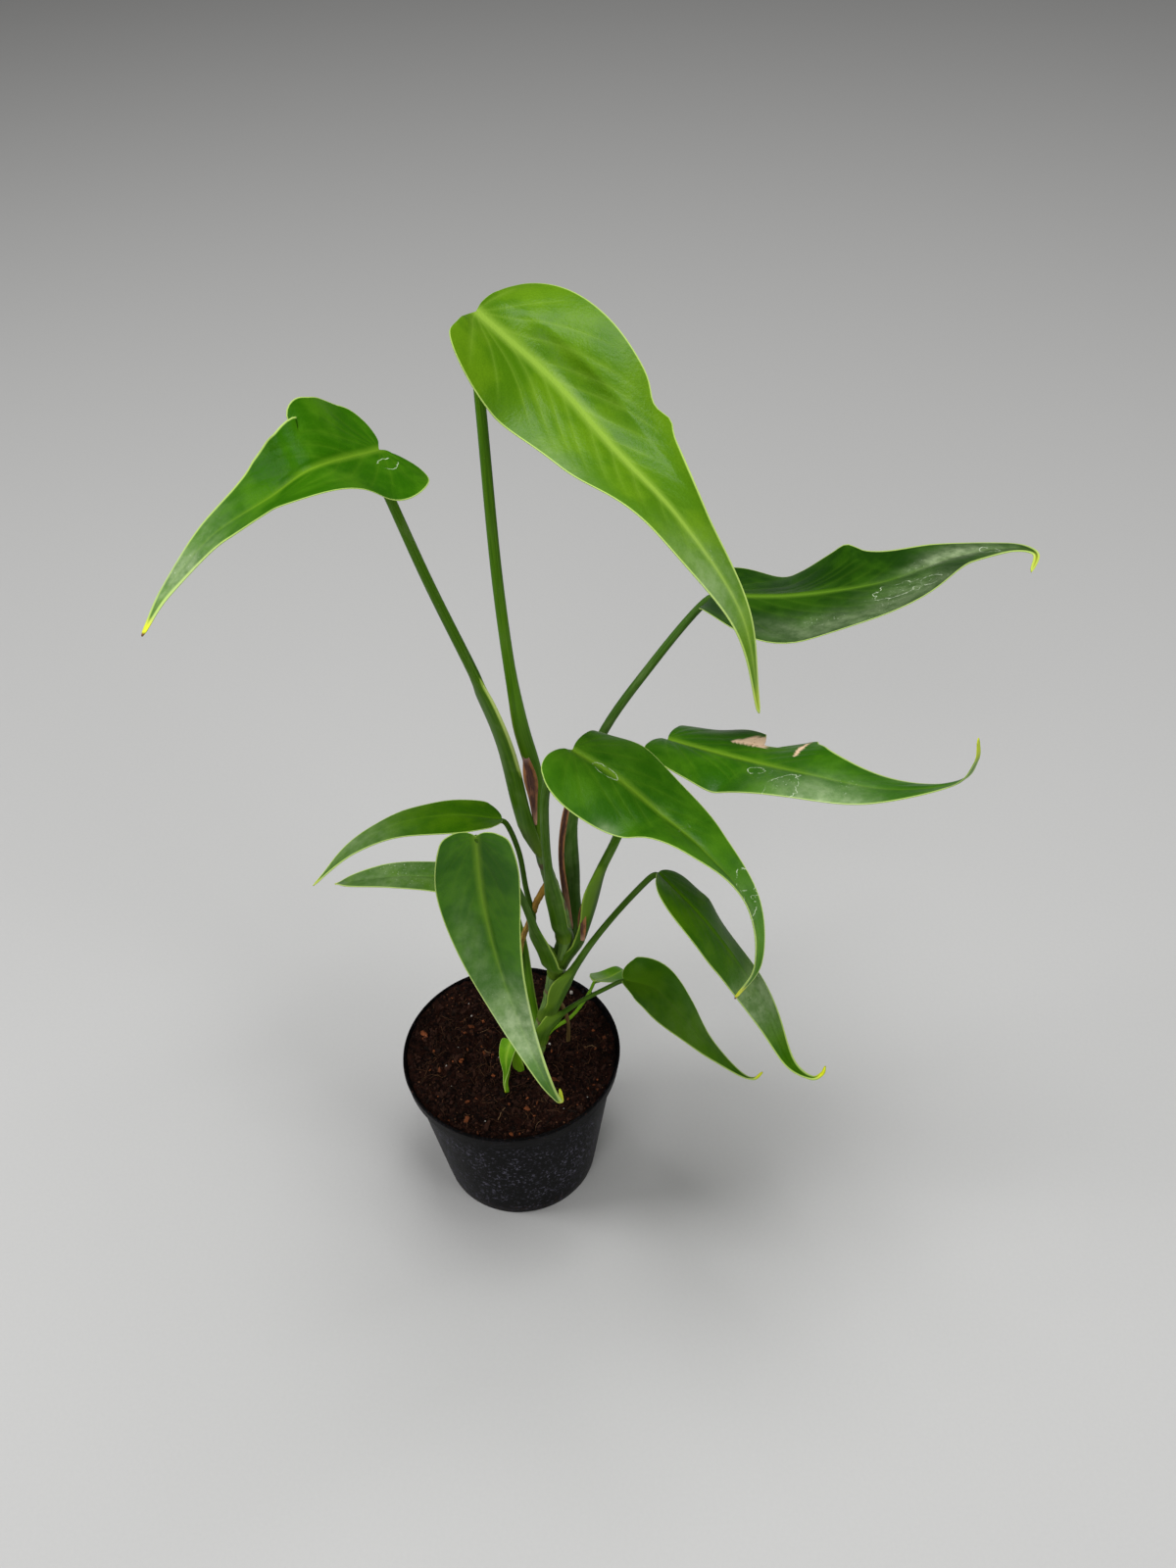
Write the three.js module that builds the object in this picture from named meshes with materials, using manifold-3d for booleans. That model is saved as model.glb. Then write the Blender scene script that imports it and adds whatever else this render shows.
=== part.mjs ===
// A young aroid house plant with long, narrow, drip-tipped leaves, in a black nursery pot.
// Millimetres, +Z up. The origin is the centre of the pot's base, on the surface it stands on.
// The plant is seen from -Y, with +X to the right.
import * as THREE from "three";
import { mergeVertices } from "three/addons/utils/BufferGeometryUtils.js";
import Module from "manifold-3d";

const wasm = await Module();
wasm.setup();

// Driving dimensions
const GAP = 0.35; // between neighbouring pieces
const pot = {
  rimRadius: 60,
  height: 96,
  baseRadius: 43,
  wall: 1.2,
  floor: 1.6,
  collarHeight: 9.5,
  collarStep: 2.2,
  segments: 40,
  drainRadius: 4,
  drainCircle: 27,
  drainCount: 8,
};
const soil = {
  top: 91.2,
  heap: 4.2,
  heapAzimuth: 2.35,
  clod: 0.55,
  rings: 7,
  spokes: 32,
  chips: 10,
};
const bladeThickness = 0.8;
const tearReach = 3; // how far a tear cuts above and below the sheet
// How finely a leaf of each size is divided: rows along the blade, columns across each half
// of it, and the petiole's rings and sides.
const detail = {
  large: { rows: 18, columns: 4, rings: 18, sides: 7 },
  small: { rows: 14, columns: 3, rings: 14, sides: 6 },
  tiny: { rows: 9, columns: 2, rings: 10, sides: 5 },
};
const simplifyTo = 0.02; // detail finer than this goes after the cuts and joins
const rowCrowding = 0.35; // rows stand closer together at the base and the tip
const ribSink = 0.75; // how far below the blade the midrib's axis runs, in rib radii
const ribLength = 0.55; // how far along the blade the rib stands out below, unless the leaf says
const ribSteps = [0.09, 0.27, 0.49, 0.73, 1]; // its points along that length
const ribRise = 0.27; // how gently it comes up into the blade
const ribTaper = 0.25; // its radius at the end, in petiole radii, unless the leaf says

// The flat outline of one half of a blade, from the sinus round the lobe to the tip.
// The first number is the place along the midrib, negative behind the petiole, where
// 1 is the lobe's length, and positive in front of it, where 1 is the midrib's length.
// The second is the width, where 1 is the greatest half-width.
const halfOutline = [
  [0, 0],
  [-0.75, 0.22],
  [-1, 0.55],
  [-0.45, 0.85],
  [0.1, 1],
  [0.26, 0.97],
  [0.44, 0.78],
  [0.62, 0.5],
  [0.78, 0.25],
  [0.9, 0.1],
  [1, 0.03],
];
const veinSweep = 0.45; // how far forward a side vein runs for each mm outward
const ribSharpness = 8; // each half reaches its full angle within 1/8 of its width

// Each leaf: the midrib's points from petiole to tip, then the blade's half-width, its two
// lobes, how far its widest part sits towards the base (belly) and its curl in degrees.
// right and left are the degrees that each half stands above the midrib's level side, at
// even steps from base to tip; right is the side to the right of one looking along the leaf.
// The petiole runs from its foot on the stem to just below the midrib's first point, with
// its radius at foot, middle and top. Its sheath is as wide as sheath.width at the foot, ends
// at the fraction sheath.end of the petiole, and opens towards sheath.open. A leaf may say how
// far along the blade its rib runs, and give the rib's radius there as a fourth radius. Where
// a leaf has a shoulder, it rounds the base of its right and left half by that many mm.
// A tear is a piece missing from one half, at places [along, out] in fractions of the midrib's
// length and of the half-width.
const leaves = {
  leaf_01: {
    colour: 0x8fc02a,
    midrib: [
      [14, 28, 515], [42, 14, 492], [65, -14, 476],
      [88, -47, 464], [109, -69, 436], [116, -80, 397],
    ],
    halfWidth: 34, lobes: [2, 2], belly: 1.25, curl: -25, size: "large",
    shoulder: [2, 5],
    right: [22, 0, 0, 5, -30, -48],
    left: [5, 54, 30, 5, 0, 14],
    petiole: [
      [25, 0, 259], [24, 3, 295], [18, 9, 330],
      [14, 16, 394], [13, 22, 465], [13, 26, 500],
    ],
    radius: [3.4, 2.6, 2.1],
    sheath: { width: 4.4, end: 0.5, open: [-0.7, 0.7, 0] },
  },
  leaf_02: {
    colour: 0x4f9a1c,
    midrib: [
      [-28, 10, 467], [-49, -22, 479], [-66, -28, 471],
      [-90, -35, 459], [-107, -50, 446], [-115, -68, 438],
    ],
    halfWidth: 28, lobes: [7, 8], belly: 1.2, curl: 11, size: "large",
    right: [24, 37, 17, 0, -4, 8],
    left: [-24, -24, 15, 10, -6, -16],
    petiole: [
      [22, -2, 251], [17, -1, 281], [12, 1, 317],
      [3, 2, 351], [-14, 5, 404], [-26, 8, 445],
    ],
    radius: [4, 2.5, 2.2],
    sheath: { width: 6.6, end: 0.56, open: [0.75, 0.65, 0] },
  },
  leaf_03: {
    colour: 0x3f8420,
    midrib: [
      [111, 54, 357], [148, 46, 361], [188, 45, 367], [222, 62, 367],
      [250, 72, 364], [261, 62, 368], [261, 57, 359],
    ],
    halfWidth: 40, lobes: [0.5, 0.5], belly: 1, curl: 12, size: "large",
    right: [20, -2, 4, 17, 9, -3],
    left: [-18, -27, -5, -7, -7, -7],
    petiole: [
      [34, 2, 174], [38, 8, 192], [38, 12, 211], [41, 18, 254],
      [56, 29, 295], [82, 40, 330], [107, 53, 354],
    ],
    radius: [3, 2.4, 1.9],
    sheath: { width: 3.8, end: 0.4, open: [-0.7, 0.7, 0] },
  },
  leaf_04: {
    colour: 0x4b9c1e,
    midrib: [
      [43, -40, 348], [61, -52, 342], [78, -63, 331], [95, -81, 326],
      [113, -98, 309], [116, -112, 288], [107, -114, 268],
    ],
    halfWidth: 27.5, lobes: [5, 2], belly: 1.45, curl: -27, size: "large",
    right: [25, 2, 27, 50, 34, 2],
    left: [-7, 5, 3, 2, 0, 23],
    petiole: [
      [32.5, -1.5, 188], [31.5, -7, 201], [30.5, -12, 219], [28.5, -17, 246],
      [28, -22, 277], [30, -28, 314], [38, -37, 342],
    ],
    radius: [3.4, 2.3, 1.9],
    sheath: { width: 4.2, end: 0.55, open: [0, 1, 0] },
  },
  leaf_05: {
    colour: 0x418a1e,
    midrib: [
      [87, 11, 307], [122, -7, 308], [144, -33, 322], [175, -54, 330],
      [199, -71, 347], [205, -76, 363], [205, -74, 374],
    ],
    halfWidth: 30, lobes: [3, 2], belly: 1.3, curl: -29, size: "large",
    right: [40, 18, 15, 5, 13, 29],
    left: [-11, -4, 8, -6, -20, -25],
    petiole: [
      [34, -1, 168], [40, -2, 184], [46, -0.5, 204], [53, 2, 230],
      [62, 4, 252], [78, 9, 294], [85, 11, 304],
    ],
    radius: [3, 2.4, 2],
    sheath: { width: 5.6, end: 0.54, open: [-0.7, 0.7, 0] },
    tear: [[0.183, 1.2], [0.221, 0.5], [0.25, 0.52], [0.264, 0.85], [0.262, 1.2]],
  },
  leaf_06: {
    colour: 0x4a9a22,
    midrib: [[7, 0, 271], [-16, -1, 276], [-41, -5, 276], [-64, -12, 268], [-84, -20, 252]],
    halfWidth: 14.5, lobes: [0.5, 0.5], belly: 1.04, curl: 0, size: "small",
    shoulder: [7, 7],
    right: [-12, -12, -14, -10, 9, 28],
    left: [30, 9, 3, 4, -3, -18],
    petiole: [[24, -4, 172], [19, -3, 202], [16, -3, 225], [14, -2, 250], [9, 0, 268]],
    radius: [2, 1.4, 1.3],
    sheath: { width: 2.6, end: 0.3, open: [1, 0, 0] },
  },
  leaf_07: {
    colour: 0x4a9426,
    midrib: [[-1, 19, 214], [-25, 27, 206], [-51, 31, 204], [-76, 35, 198], [-90, 50, 181]],
    halfWidth: 14.5, lobes: [6, 6], belly: 0.92, curl: -10, size: "small",
    right: [8, -2, -3, 14, 19, 22],
    left: [14, 16, 15, 11, 8, 7],
    petiole: [[16, 3, 104], [13, 8, 136], [11, 12, 170], [7, 15, 198], [0, 18, 212]],
    radius: [2.2, 1.7, 1.4],
    sheath: { width: 3.4, end: 0.75, open: [0.7, 0.7, 0] },
  },
  leaf_08: {
    colour: 0x4f9c24,
    midrib: [
      [-2, -43, 302], [-2, -44, 265], [2, -51, 231], [11, -66, 199],
      [22, -84, 178], [28, -84, 160], [30, -80, 157],
    ],
    halfWidth: 21, lobes: [6, 5], belly: 1.09, curl: 21, size: "large",
    right: [24, 14, 13, 11, 12, 11],
    left: [13, 14, 20, 20, 13, 8],
    petiole: [
      [27, -8, 164], [24.5, -14, 187], [20.5, -20.5, 210],
      [15, -30, 248], [7, -38, 282], [-1, -42, 299],
    ],
    radius: [3.4, 1.9, 1.6],
    sheath: { width: 5.4, end: 0.5, open: [0.6, 1, 0] },
  },
  leaf_09: {
    colour: 0x4a9a20,
    midrib: [
      [81, -10, 240], [100, -27, 227], [118, -35, 200], [132, -50, 178],
      [142, -66, 160], [151, -77, 161], [158, -75, 166],
    ],
    halfWidth: 19, lobes: [0.5, 0.5], belly: 1.05, curl: -11, size: "small",
    shoulder: [8, 8],
    right: [48, 26, 14, -3, -8, 3],
    left: [-28, -25, -28, -7, 1, 13],
    petiole: [
      [22, -8, 130], [27, -9.5, 147], [33.5, -9.5, 163], [45, -8.5, 186],
      [59, -8, 209], [73, -9.5, 231], [79.5, -9.5, 238],
    ],
    radius: [3.4, 1.8, 1.5],
    sheath: { width: 5, end: 0.36, open: [-0.3, 1, 0.3] },
  },
  leaf_10: {
    colour: 0x4f9f22,
    midrib: [
      [63, 0, 150], [79, -2, 144], [94, -8, 127], [108, -17, 111],
      [122, -27, 102], [130, -32, 102], [135, -31, 106],
    ],
    halfWidth: 16, lobes: [2, 2], belly: 1.09, curl: 0, size: "small",
    shoulder: [7, 7],
    right: [28, -11, -16, -13, -3, 11],
    left: [6, 17, 13, -2, -5, -5],
    petiole: [
      [14.5, -8.5, 114], [21, -9.5, 125], [29, -7.5, 133],
      [40, -4, 139], [52, -2, 145], [62, 0, 149],
    ],
    radius: [2.8, 1.4, 1.2],
    sheath: { width: 4.6, end: 0.42, open: [0, 1, 0.3] },
  },
  leaf_11: {
    colour: 0x57a428,
    midrib: [[47, 19, 128], [55, 30, 117], [64, 42, 109], [63, 51, 95]],
    halfWidth: 7, lobes: [0.5, 0.5], belly: 1, curl: 0, size: "tiny",
    shoulder: [4, 4],
    right: [16, 12, 10, 10, 11, 12],
    left: [10, 2, -2, 5, 12, 16],
    petiole: [[16, -3, 103], [22, 2, 108], [34, 7, 113], [43, 13, 122], [47, 18, 127]],
    radius: [1.5, 1, 0.9],
    sheath: { width: 1.8, end: 0.3, open: [0, 0, 1] },
  },
  leaf_12: {
    colour: 0x7ab82c,
    midrib: [
      [1, -15, 129], [-1, -18, 124], [-2, -20, 116],
      [-2, -23, 107], [-4, -27, 100], [-3, -29, 94],
    ],
    halfWidth: 4.2, lobes: [0.5, 0.5], belly: 1.5, curl: 20, size: "tiny",
    right: [30, 30, 32, 35, 35, 35],
    left: [30, 30, 32, 35, 35, 35],
    petiole: [[4, -8, 84], [3.5, -10, 101], [3, -12, 116], [2, -14, 126]],
    radius: [3.3, 2.6, 1.5, 1.3],
    rib: 1,
    sheath: { width: 4.4, end: 0.6, open: [0.7, 0.7, 0] },
  },
};

// The stem and what else grows from it: points along the axis, and the radius at even steps.
const stemPath = [
  [12, -6, 58], [12, -7, 91], [18, -5, 118], [24, -3, 140], [28, -2, 162],
  [33, 0, 183], [32, 2, 203], [28, 2, 225], [24, 0, 251],
];
const stemRadius = [3, 4.4, 4.6, 4.4, 4.6, 4.4, 3.8, 3.4, 3];
const roots = {
  aerial_root: {
    colour: 0x8a7a2a,
    path: [
      [26, -4, 228], [21, -4, 218], [18, -1, 205], [15, 2, 194], [11, 5, 179],
      [8, 9, 160], [2, 12, 136], [-1, 15, 108], [-1, 16, 84],
    ],
    radius: [2, 1.6, 1.5, 1.6, 1.3],
  },
  stub_root: {
    colour: 0x4b4428,
    path: [[26, -1, 138], [30, 3, 126], [32, 6, 108], [31, 8, 84]],
    radius: [1.6, 1.5, 1.5, 1.3],
  },
};
const drySheaths = {
  dry_sheath_top: {
    path: [[23, -4.5, 271], [23, -5.5, 287], [22.5, -5.5, 301], [21, -4, 313]],
    width: [0.9, 1.9, 3.3, 1.6],
    open: [0.2, 1, 0],
  },
  dry_sheath_middle: {
    path: [[36.5, 2, 190], [35, 5, 213], [33.5, 7.5, 229], [33.5, 10, 243], [36, 12, 259]],
    width: [1.8, 2.2, 2, 2, 0.9],
    open: [0.2, 1, 0],
  },
  dry_sheath_lower: {
    path: [[42, -4, 188], [42.5, -4, 196], [43, -3, 204], [44, -2, 212]],
    width: [2, 2.7, 2.6, 1.2],
    open: [0.7, 0.7, 0],
  },
};
const drySheathThickness = 1;

const vec = ([x, y = 0, z = 0]) => new THREE.Vector3(x, y, z);
const curveThrough = (points) => new THREE.CatmullRomCurve3(points.map(vec), false, "catmullrom", 0.5);
// A smooth number along a leaf or a stalk, given at even steps.
const valueAlong = (values) => {
  const curve = curveThrough(values.map((value) => [value]));
  return (t) => curve.getPoint(THREE.MathUtils.clamp(t, 0, 1)).x;
};

// A curve's points with a frame each, carried along it without twist.
function frameAlong(points, steps, firstSide) {
  const curve = curveThrough(points);
  const places = Array.from({ length: steps + 1 }, (_, i) => curve.getPoint(i / steps));
  const frames = [];
  let side = null;
  let length = 0;
  places.forEach((place, i) => {
    const before = places[Math.max(i - 1, 0)];
    const after = places[Math.min(i + 1, steps)];
    const along = after.clone().sub(before).normalize();
    side = side ?? firstSide ?? along.clone().cross(vec([0, 0, 1]));
    side = side.clone().addScaledVector(along, -side.dot(along)).normalize();
    length += i > 0 ? place.distanceTo(before) : 0;
    frames.push({ place, along, side, up: side.clone().cross(along), length });
  });
  return frames;
}

// The frame at a length along the curve.
function frameAt(frames, length) {
  const last = frames.length - 1;
  let i = frames.findIndex((frame) => frame.length >= length) - 1;
  if (i < 0) i = length <= 0 ? 0 : last - 1;
  const a = frames[i];
  const b = frames[i + 1];
  const f = THREE.MathUtils.clamp((length - a.length) / (b.length - a.length), 0, 1);
  const mix = (key) => a[key].clone().lerp(b[key], f);
  return { place: mix("place"), along: mix("along"), side: mix("side"), up: mix("up") };
}

// A closed geometry from shared points and triangles; triangles that have shrunk to a line go.
function closedGeometry(points, triangles) {
  const raw = new THREE.BufferGeometry();
  raw.setAttribute("position", new THREE.Float32BufferAttribute(points.flatMap((p) => p.toArray()), 3));
  raw.setIndex(triangles.flat());
  const merged = mergeVertices(raw, 1e-3);
  const index = merged.index.array;
  const kept = [];
  for (let i = 0; i < index.length; i += 3) {
    const [a, b, c] = [index[i], index[i + 1], index[i + 2]];
    if (a !== b && b !== c && c !== a) kept.push(a, b, c);
  }
  merged.setIndex(kept);
  return merged;
}

function solidOf(geometry) {
  return new wasm.Manifold(
    new wasm.Mesh({
      numProp: 3,
      vertProperties: new Float32Array(geometry.attributes.position.array),
      triVerts: new Uint32Array(geometry.index.array),
    }),
  );
}

// The largest body of a solid: slivers that a cut leaves loose are dropped.
function largestBody(solid) {
  return solid.decompose().reduce((best, body) => (body.volume() > best.volume() ? body : best));
}

function geometryOf(solid) {
  const { vertProperties, triVerts } = solid.simplify(simplifyTo).getMesh();
  const geometry = new THREE.BufferGeometry();
  geometry.setAttribute("position", new THREE.BufferAttribute(vertProperties, 3));
  geometry.setIndex(new THREE.BufferAttribute(triVerts, 1));
  const flat = geometry.toNonIndexed();
  flat.computeVertexNormals();
  return flat;
}

// A closed stalk through rings of points, with a fan on each end.
function stalkFromRings(rings) {
  const sides = rings[0].length;
  const points = rings.flat();
  const triangles = [];
  for (let i = 0; i < rings.length - 1; i++) {
    for (let j = 0; j < sides; j++) {
      const a = i * sides + j;
      const b = i * sides + ((j + 1) % sides);
      triangles.push([a, b, b + sides], [a, b + sides, a + sides]);
    }
  }
  const lastRing = (rings.length - 1) * sides;
  for (let j = 1; j < sides - 1; j++) {
    triangles.push([0, j + 1, j], [lastRing, lastRing + j, lastRing + j + 1]);
  }
  return closedGeometry(points, triangles);
}

// A stalk along a path. widthAt gives half its width across, depthAt how far its round back
// stands off the axis, and hollowAt how far its open face is: below zero it bulges like the
// back, above zero it is hollow, as a sheath is.
function stalk(points, steps, open, widthAt, depthAt, hollowAt, sides) {
  const back = vec(open).negate();
  const start = vec(points[0]);
  const firstAlong = vec(points[1]).sub(start).normalize();
  const frames = frameAlong(points, steps, back.clone().cross(firstAlong));
  const rings = frames.map((frame, i) => {
    const t = i / steps;
    return Array.from({ length: sides }, (_, j) => {
      const angle = ((j + 0.5) / sides) * 2 * Math.PI;
      const rise = Math.sin(angle);
      const off = rise > 0 ? rise * depthAt(t) : -rise * hollowAt(t);
      const across = Math.cos(angle) * widthAt(t);
      return frame.place.clone().addScaledVector(frame.side, across).addScaledVector(frame.up, -off);
    });
  });
  return stalkFromRings(rings);
}

function roundStalk(points, radii, steps, sides, extra = 0) {
  const radius = valueAlong(radii);
  const at = (t) => radius(t) + extra;
  return stalk(points, steps, [0, 1, 0.01], at, at, (t) => -at(t), sides);
}

// A petiole with its sheath, then the midrib's rib below the blade. extra fattens it for cuts.
function petioleGeometry(leaf, extra = 0) {
  const frames = frameAlong(leaf.midrib, 60);
  const total = frames.at(-1).length;
  const ribRadius = leaf.radius[2];
  const ribEnd = leaf.rib ?? ribLength;
  const ribPoints = ribSteps.map((step) => {
    const taper = 1 - step / (1 + ribRise);
    const frame = frameAt(frames, step * ribEnd * total);
    return frame.place.addScaledVector(frame.up, -ribSink * ribRadius * taper).toArray();
  });
  const points = [...leaf.petiole, ...ribPoints];
  const blend = (leaf.petiole.length - 1) / (points.length - 1);
  const [foot, middle, top, end = top * ribTaper] = leaf.radius;
  const stalkRadius = valueAlong([foot, middle, top]);
  const radius = (t) => {
    const along = t / blend;
    const taper = THREE.MathUtils.clamp((t - blend) / (1 - blend), 0, 1);
    return THREE.MathUtils.lerp(stalkRadius(along), end, taper);
  };
  const sheathed = (t) => {
    const along = t / blend / leaf.sheath.end;
    return 1 - THREE.MathUtils.smoothstep(along, 0.72, 1);
  };
  const width = (t) => THREE.MathUtils.lerp(radius(t), leaf.sheath.width, sheathed(t)) + extra;
  const depth = (t) => radius(t) + extra;
  const hollow = (t) => THREE.MathUtils.lerp(-radius(t), radius(t) * 0.1, sheathed(t)) - extra;
  const { rings, sides } = detail[leaf.size];
  return stalk(points, rings, leaf.sheath.open, width, depth, hollow, sides);
}

// A point of a blade: along and out are its flat place in mm, hand is 1 on the right and -1
// on the left, and lift the angle there. face is how far the point lies above the sheet.
function bladePoint(leaf, frames, along, out, hand, lift, face) {
  const total = frames.at(-1).length;
  const frame = frameAt(frames, THREE.MathUtils.clamp(along, 0, total));
  const width = out / leaf.halfWidth;
  const degrees = lift(along / total) + (leaf.curl * width) / 2;
  const angle = THREE.MathUtils.degToRad(degrees) * Math.min(1, width * ribSharpness);
  const point = frame.place.addScaledVector(frames[0].along, Math.min(along, 0));
  point.addScaledVector(frame.side, hand * (out * Math.cos(angle) - face * Math.sin(angle)));
  return point.addScaledVector(frame.up, out * Math.sin(angle) + face * Math.cos(angle));
}

// The piece that a tear takes out of the left half of a blade.
function tearGeometry(leaf) {
  const frames = frameAlong(leaf.midrib, 60);
  const total = frames.at(-1).length;
  const lift = valueAlong(leaf.left);
  const ring = (face) => leaf.tear.map(([along, out]) => (
    bladePoint(leaf, frames, along * total, out * leaf.halfWidth, -1, lift, face)
  ));
  return stalkFromRings([ring(-tearReach), ring(tearReach)]);
}

function bladeGeometry(leaf) {
  const frames = frameAlong(leaf.midrib, 60);
  const total = frames.at(-1).length;
  const { rows, columns } = detail[leaf.size];
  const points = [];
  const triangles = [];
  const [rightShoulder, leftShoulder] = leaf.shoulder ?? [0, 0];
  const outlineWith = (lobe, shoulder) => curveThrough(halfOutline.map(([along, wide]) => [
    along < 0 ? along * lobe + shoulder * wide ** 2 : total * along ** leaf.belly,
    wide * leaf.halfWidth,
  ]));
  // Each half has its own grid on the upper and the lower face; they share the midrib, where
  // the rows start at places that both halves take from the outline without a lobe.
  const lobeless = outlineWith(0, 0);
  const grid = [1, -1].map((hand) => {
    const isRight = hand === 1;
    const outline = isRight
      ? outlineWith(leaf.lobes[0], rightShoulder)
      : outlineWith(leaf.lobes[1], leftShoulder);
    const lift = valueAlong(isRight ? leaf.right : leaf.left);
    return [1, -1].map((face) => Array.from({ length: rows + 1 }, (_, i) => {
      const row = i / rows - (rowCrowding * Math.sin((2 * Math.PI * i) / rows)) / (2 * Math.PI);
      const edge = outline.getPoint(row);
      const plain = lobeless.getPoint(row);
      const root = Math.max(0, plain.x - veinSweep * plain.y);
      return Array.from({ length: columns + 1 }, (_, j) => {
        const across = j / columns;
        const along = THREE.MathUtils.lerp(root, edge.x, across);
        const half = (face * bladeThickness) / 2;
        points.push(bladePoint(leaf, frames, along, edge.y * across, hand, lift, half));
        return points.length - 1;
      });
    }));
  });
  const quad = (a, b, c, d, flip) => {
    if (flip) triangles.push([a, c, b], [a, d, c]);
    else triangles.push([a, b, c], [a, c, d]);
  };
  grid.forEach((faces, side) => {
    const mirrored = side === 1;
    faces.forEach((sheet, face) => {
      for (let i = 0; i < rows; i++) {
        for (let j = 0; j < columns; j++) {
          const [a, b, c, d] = [sheet[i][j], sheet[i][j + 1], sheet[i + 1][j + 1], sheet[i + 1][j]];
          quad(a, b, c, d, mirrored !== (face === 1));
        }
      }
    });
    const [upper, lower] = faces;
    for (let i = 0; i < rows; i++) {
      quad(upper[i][columns], lower[i][columns], lower[i + 1][columns], upper[i + 1][columns], mirrored);
    }
    for (let j = 0; j < columns; j++) {
      quad(upper[rows][j], upper[rows][j + 1], lower[rows][j + 1], lower[rows][j], mirrored);
    }
  });
  return closedGeometry(points, triangles);
}

// The thin black pot: a tapered wall, a collar round the rim and a floor with drain holes.
const collarFoot = pot.height - pot.collarHeight;
const collarWiden = [1, 2]; // the wall's step out and up into the collar
const innerRadiusAt = (z) => {
  const wallTop = pot.rimRadius - pot.collarStep;
  return THREE.MathUtils.lerp(pot.baseRadius, wallTop, z / pot.height) - pot.wall;
};
const collarInnerRadiusAt = (z) => {
  const low = innerRadiusAt(collarFoot) + collarWiden[0];
  const share = (z - collarFoot - collarWiden[1]) / (pot.collarHeight - collarWiden[1]);
  return THREE.MathUtils.lerp(low, pot.rimRadius - 1.4, share);
};
function potSolid() {
  const { rimRadius, height, baseRadius } = pot;
  const profile = [
    [0, 0],
    [baseRadius - 1.2, 0],
    [baseRadius, 1.2],
    [innerRadiusAt(collarFoot) + pot.wall, collarFoot],
    [rimRadius - 0.9, collarFoot + 0.6],
    [rimRadius, height - 1.2],
    [rimRadius - 0.5, height],
    [collarInnerRadiusAt(height), height],
    [collarInnerRadiusAt(collarFoot + collarWiden[1]), collarFoot + collarWiden[1]],
    [innerRadiusAt(collarFoot), collarFoot],
    [innerRadiusAt(pot.floor), pot.floor],
    [0, pot.floor],
  ];
  const lathe = new THREE.LatheGeometry(profile.map(([r, z]) => new THREE.Vector2(r, z)), pot.segments);
  lathe.rotateX(Math.PI / 2);
  let solid = solidOf(weld(lathe));
  for (let i = 0; i < pot.drainCount; i++) {
    const hole = new THREE.CylinderGeometry(pot.drainRadius, pot.drainRadius, pot.floor * 4, 8);
    hole.rotateX(Math.PI / 2);
    const angle = ((i + 0.5) / pot.drainCount) * 2 * Math.PI;
    hole.translate(pot.drainCircle * Math.cos(angle), pot.drainCircle * Math.sin(angle), 0);
    solid = solid.subtract(solidOf(weld(hole)));
  }
  return solid;
}

// A stock geometry with its seams closed.
function weld(geometry) {
  geometry.deleteAttribute("normal");
  geometry.deleteAttribute("uv");
  const merged = mergeVertices(geometry, 1e-3);
  const position = merged.attributes.position;
  const point = (_, i) => new THREE.Vector3().fromBufferAttribute(position, i);
  const points = Array.from({ length: position.count }, point);
  const index = Array.from(merged.index.array);
  const triangles = [];
  for (let i = 0; i < index.length; i += 3) triangles.push(index.slice(i, i + 3));
  return closedGeometry(points, triangles);
}

// The height of the soil: level, heaped against the wall on one side, and lumpy.
function soilHeight(x, y) {
  const radius = Math.hypot(x, y);
  const towardsHeap = Math.max(0, Math.cos(Math.atan2(y, x) - soil.heapAzimuth));
  const heap = soil.heap * towardsHeap * (radius / pot.rimRadius) ** 3;
  const waves = Math.sin(x * 0.61 + y * 0.23) + Math.sin(y * 0.53 - x * 0.31 + 1);
  const finer = Math.sin(x * 0.17 + y * 0.97 + 2);
  return soil.top + heap + soil.clod * (waves + finer);
}

function seededRandom(seed) {
  let state = seed;
  return () => {
    state = (state * 16807) % 2147483647;
    return state / 2147483647;
  };
}

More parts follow.
